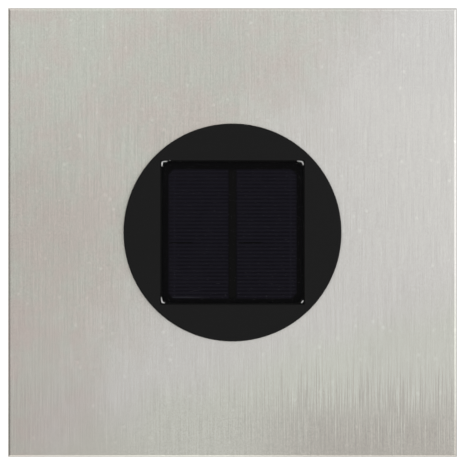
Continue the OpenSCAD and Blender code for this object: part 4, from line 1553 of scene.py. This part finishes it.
@dataclass
class Studio:
    """Floor, lamps, world and camera."""

    picture_w: float = 181.16 * MM
    camera_height: float = 2.0
    sensor_w: float = 36.0
    view_reach: float = 50.0
    floor_size: float = 12.0
    floor_z: float = -0.2 * MM
    floor_colour: str = "E6E6E4"
    floor_roughness: float = 0.9
    floor_glow: float = 0.68
    floor_mirrored: float = 0.2
    ambient: float = 0.8
    # How the mirrored surroundings darken to the left, then further left, to the front,
    # towards the ground, and straight up at the camera: axis, span and levels
    surroundings: tuple[tuple[int, Pair, Pair], ...] = (
        (0, (-0.24, 0.13), (0.7, 1.1)),
        (0, (-0.4, -0.14), (0.6, 1.0)),
        (1, (-0.24, 0.18), (0.875, 1.19)),
        (2, (0.0, 0.85), (0.68, 1.0)),
        (2, (0.9990, 0.9997), (1.0, 0.03)),
    )
    # Each softbox: name, place from the hat's middle, width, how bright it looks, and colour
    softboxes: tuple[tuple[str, Triple, float, float, Triple], ...] = (
        ("key_softbox", (0.72, 0.3, 0.95), 1.1, 0.8, (0.97, 0.99, 1.0)),
        ("rear_softbox", (-0.55, 0.95, 0.75), 0.7, 0.8, (1.0, 0.99, 0.97)),
        ("front_softbox", (0.0, -1.1, 0.5), 0.9, 1.0, (1.0, 0.98, 0.96)),
    )

    def build(self) -> None:
        """Sets up everything round the light."""
        hat = Vector((0.0, 0.0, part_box("hat")[1].z))
        self.camera(hat)
        self.floor()
        self.world()
        self.lamps(hat)
        bpy.context.scene.view_settings.view_transform = "Standard"

    def camera(self, hat: Vector) -> None:
        """Looks straight down on the hat, which fills the square picture as in the photo.

        Args:
            hat: the middle of its top.
        """
        data = bpy.data.cameras.new("top_camera")
        data.sensor_width = self.sensor_w
        data.lens = self.sensor_w * self.camera_height / self.picture_w
        data.clip_end = self.view_reach
        camera = new_object("top_camera", data)
        camera.location = (0.0, 0.0, hat.z + self.camera_height)
        bpy.context.scene.camera = camera

    def floor(self) -> None:
        """Lays a pale floor that the camera sees as white where no shadow falls.

        In the steel's reflections it looks darker, as a floor does further from the lamps.
        """
        ground = bmesh.new()
        bmesh.ops.create_grid(ground, x_segments=1, y_segments=1, size=self.floor_size / 2)
        floor = mesh_piece("studio_floor", ground)
        floor.location.z = self.floor_z
        material = bpy.data.materials.new("pale studio floor")
        material.use_nodes = True
        nodes = Nodes(material.node_tree)
        glossy = nodes.add("ShaderNodeLightPath").outputs["Is Glossy Ray"]
        mirrored = nodes.add("ShaderNodeMath", glossy, self.floor_mirrored, operation="MULTIPLY")
        terms = (self.seen_rays(nodes), self.floor_glow, mirrored)
        glow = nodes.add("ShaderNodeMath", *terms, operation="MULTIPLY_ADD")
        matt = {"Base Color": linear(self.floor_colour), "Roughness": self.floor_roughness}
        light = {"Specular IOR Level": 0.0, "Emission Color": WHITE, "Emission Strength": glow}
        nodes.join(nodes.tree.nodes["Principled BSDF"], {**matt, **light})
        floor.data.materials.append(material)

    @staticmethod
    def seen_rays(nodes: Nodes) -> Signal:
        """Picks the rays that show the surroundings: from the camera or through glass.

        Args:
            nodes: the nodes of the floor or the world.

        Returns:
            1 for those rays, and 0 for others.
        """
        path = nodes.add("ShaderNodeLightPath").outputs
        rays = (path["Is Camera Ray"], path["Is Transmission Ray"])
        return nodes.add("ShaderNodeMath", *rays, operation="MAXIMUM")

    def world(self) -> None:
        """White surroundings that light softly, and look darker to the left in reflections.

        Straight up, reflections show the dark camera.
        """
        world = bpy.data.worlds.new("studio")
        bpy.context.scene.world = world
        world.use_nodes = True
        nodes = Nodes(world.node_tree)
        way = nodes.add("ShaderNodeTexCoord").outputs["Generated"]
        parts = nodes.add("ShaderNodeSeparateXYZ", way).outputs
        mirrored = 1.0
        for axis, span, levels in self.surroundings:
            level = nodes.ramp(parts[axis], span, levels)
            mirrored = nodes.add("ShaderNodeMath", mirrored, level, operation="MULTIPLY")
        lit = nodes.add("ShaderNodeMix", self.seen_rays(nodes), {"A": self.ambient, "B": 1.0})
        glossy = nodes.add("ShaderNodeLightPath").outputs["Is Glossy Ray"]
        strength = nodes.add("ShaderNodeMix", glossy, {"A": lit, "B": mirrored})
        nodes.join(nodes.tree.nodes["Background"], {"Color": WHITE, "Strength": strength})

    def lamps(self, hat: Vector) -> None:
        """Hangs square softboxes that face the hat.

        Args:
            hat: the middle of its top.
        """
        for name, offset, size, brightness, colour in self.softboxes:
            data = bpy.data.lights.new(name, "AREA")
            data.shape = "SQUARE"
            data.size = size
            data.energy = brightness * math.pi * size**2
            data.color = colour
            lamp = new_object(name, data)
            lamp.location = hat + Vector(offset)
            lamp.rotation_euler = (-Vector(offset)).to_track_quat("-Z", "Y").to_euler()
            lamp.visible_camera = False


def main() -> None:
    """Builds the sub-assemblies in order, from the hat down, then the studio."""
    logging.basicConfig(level=logging.INFO, format="%(name)s %(message)s")
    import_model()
    for kind in (Hat, Head, PostAndFoot, SolarPanel, ModuleShell, Driver, BatteryBay):
        LOG.info("building %s", kind.__name__)
        kind().build()
    Studio().build()


if __name__ == "__main__":
    main()
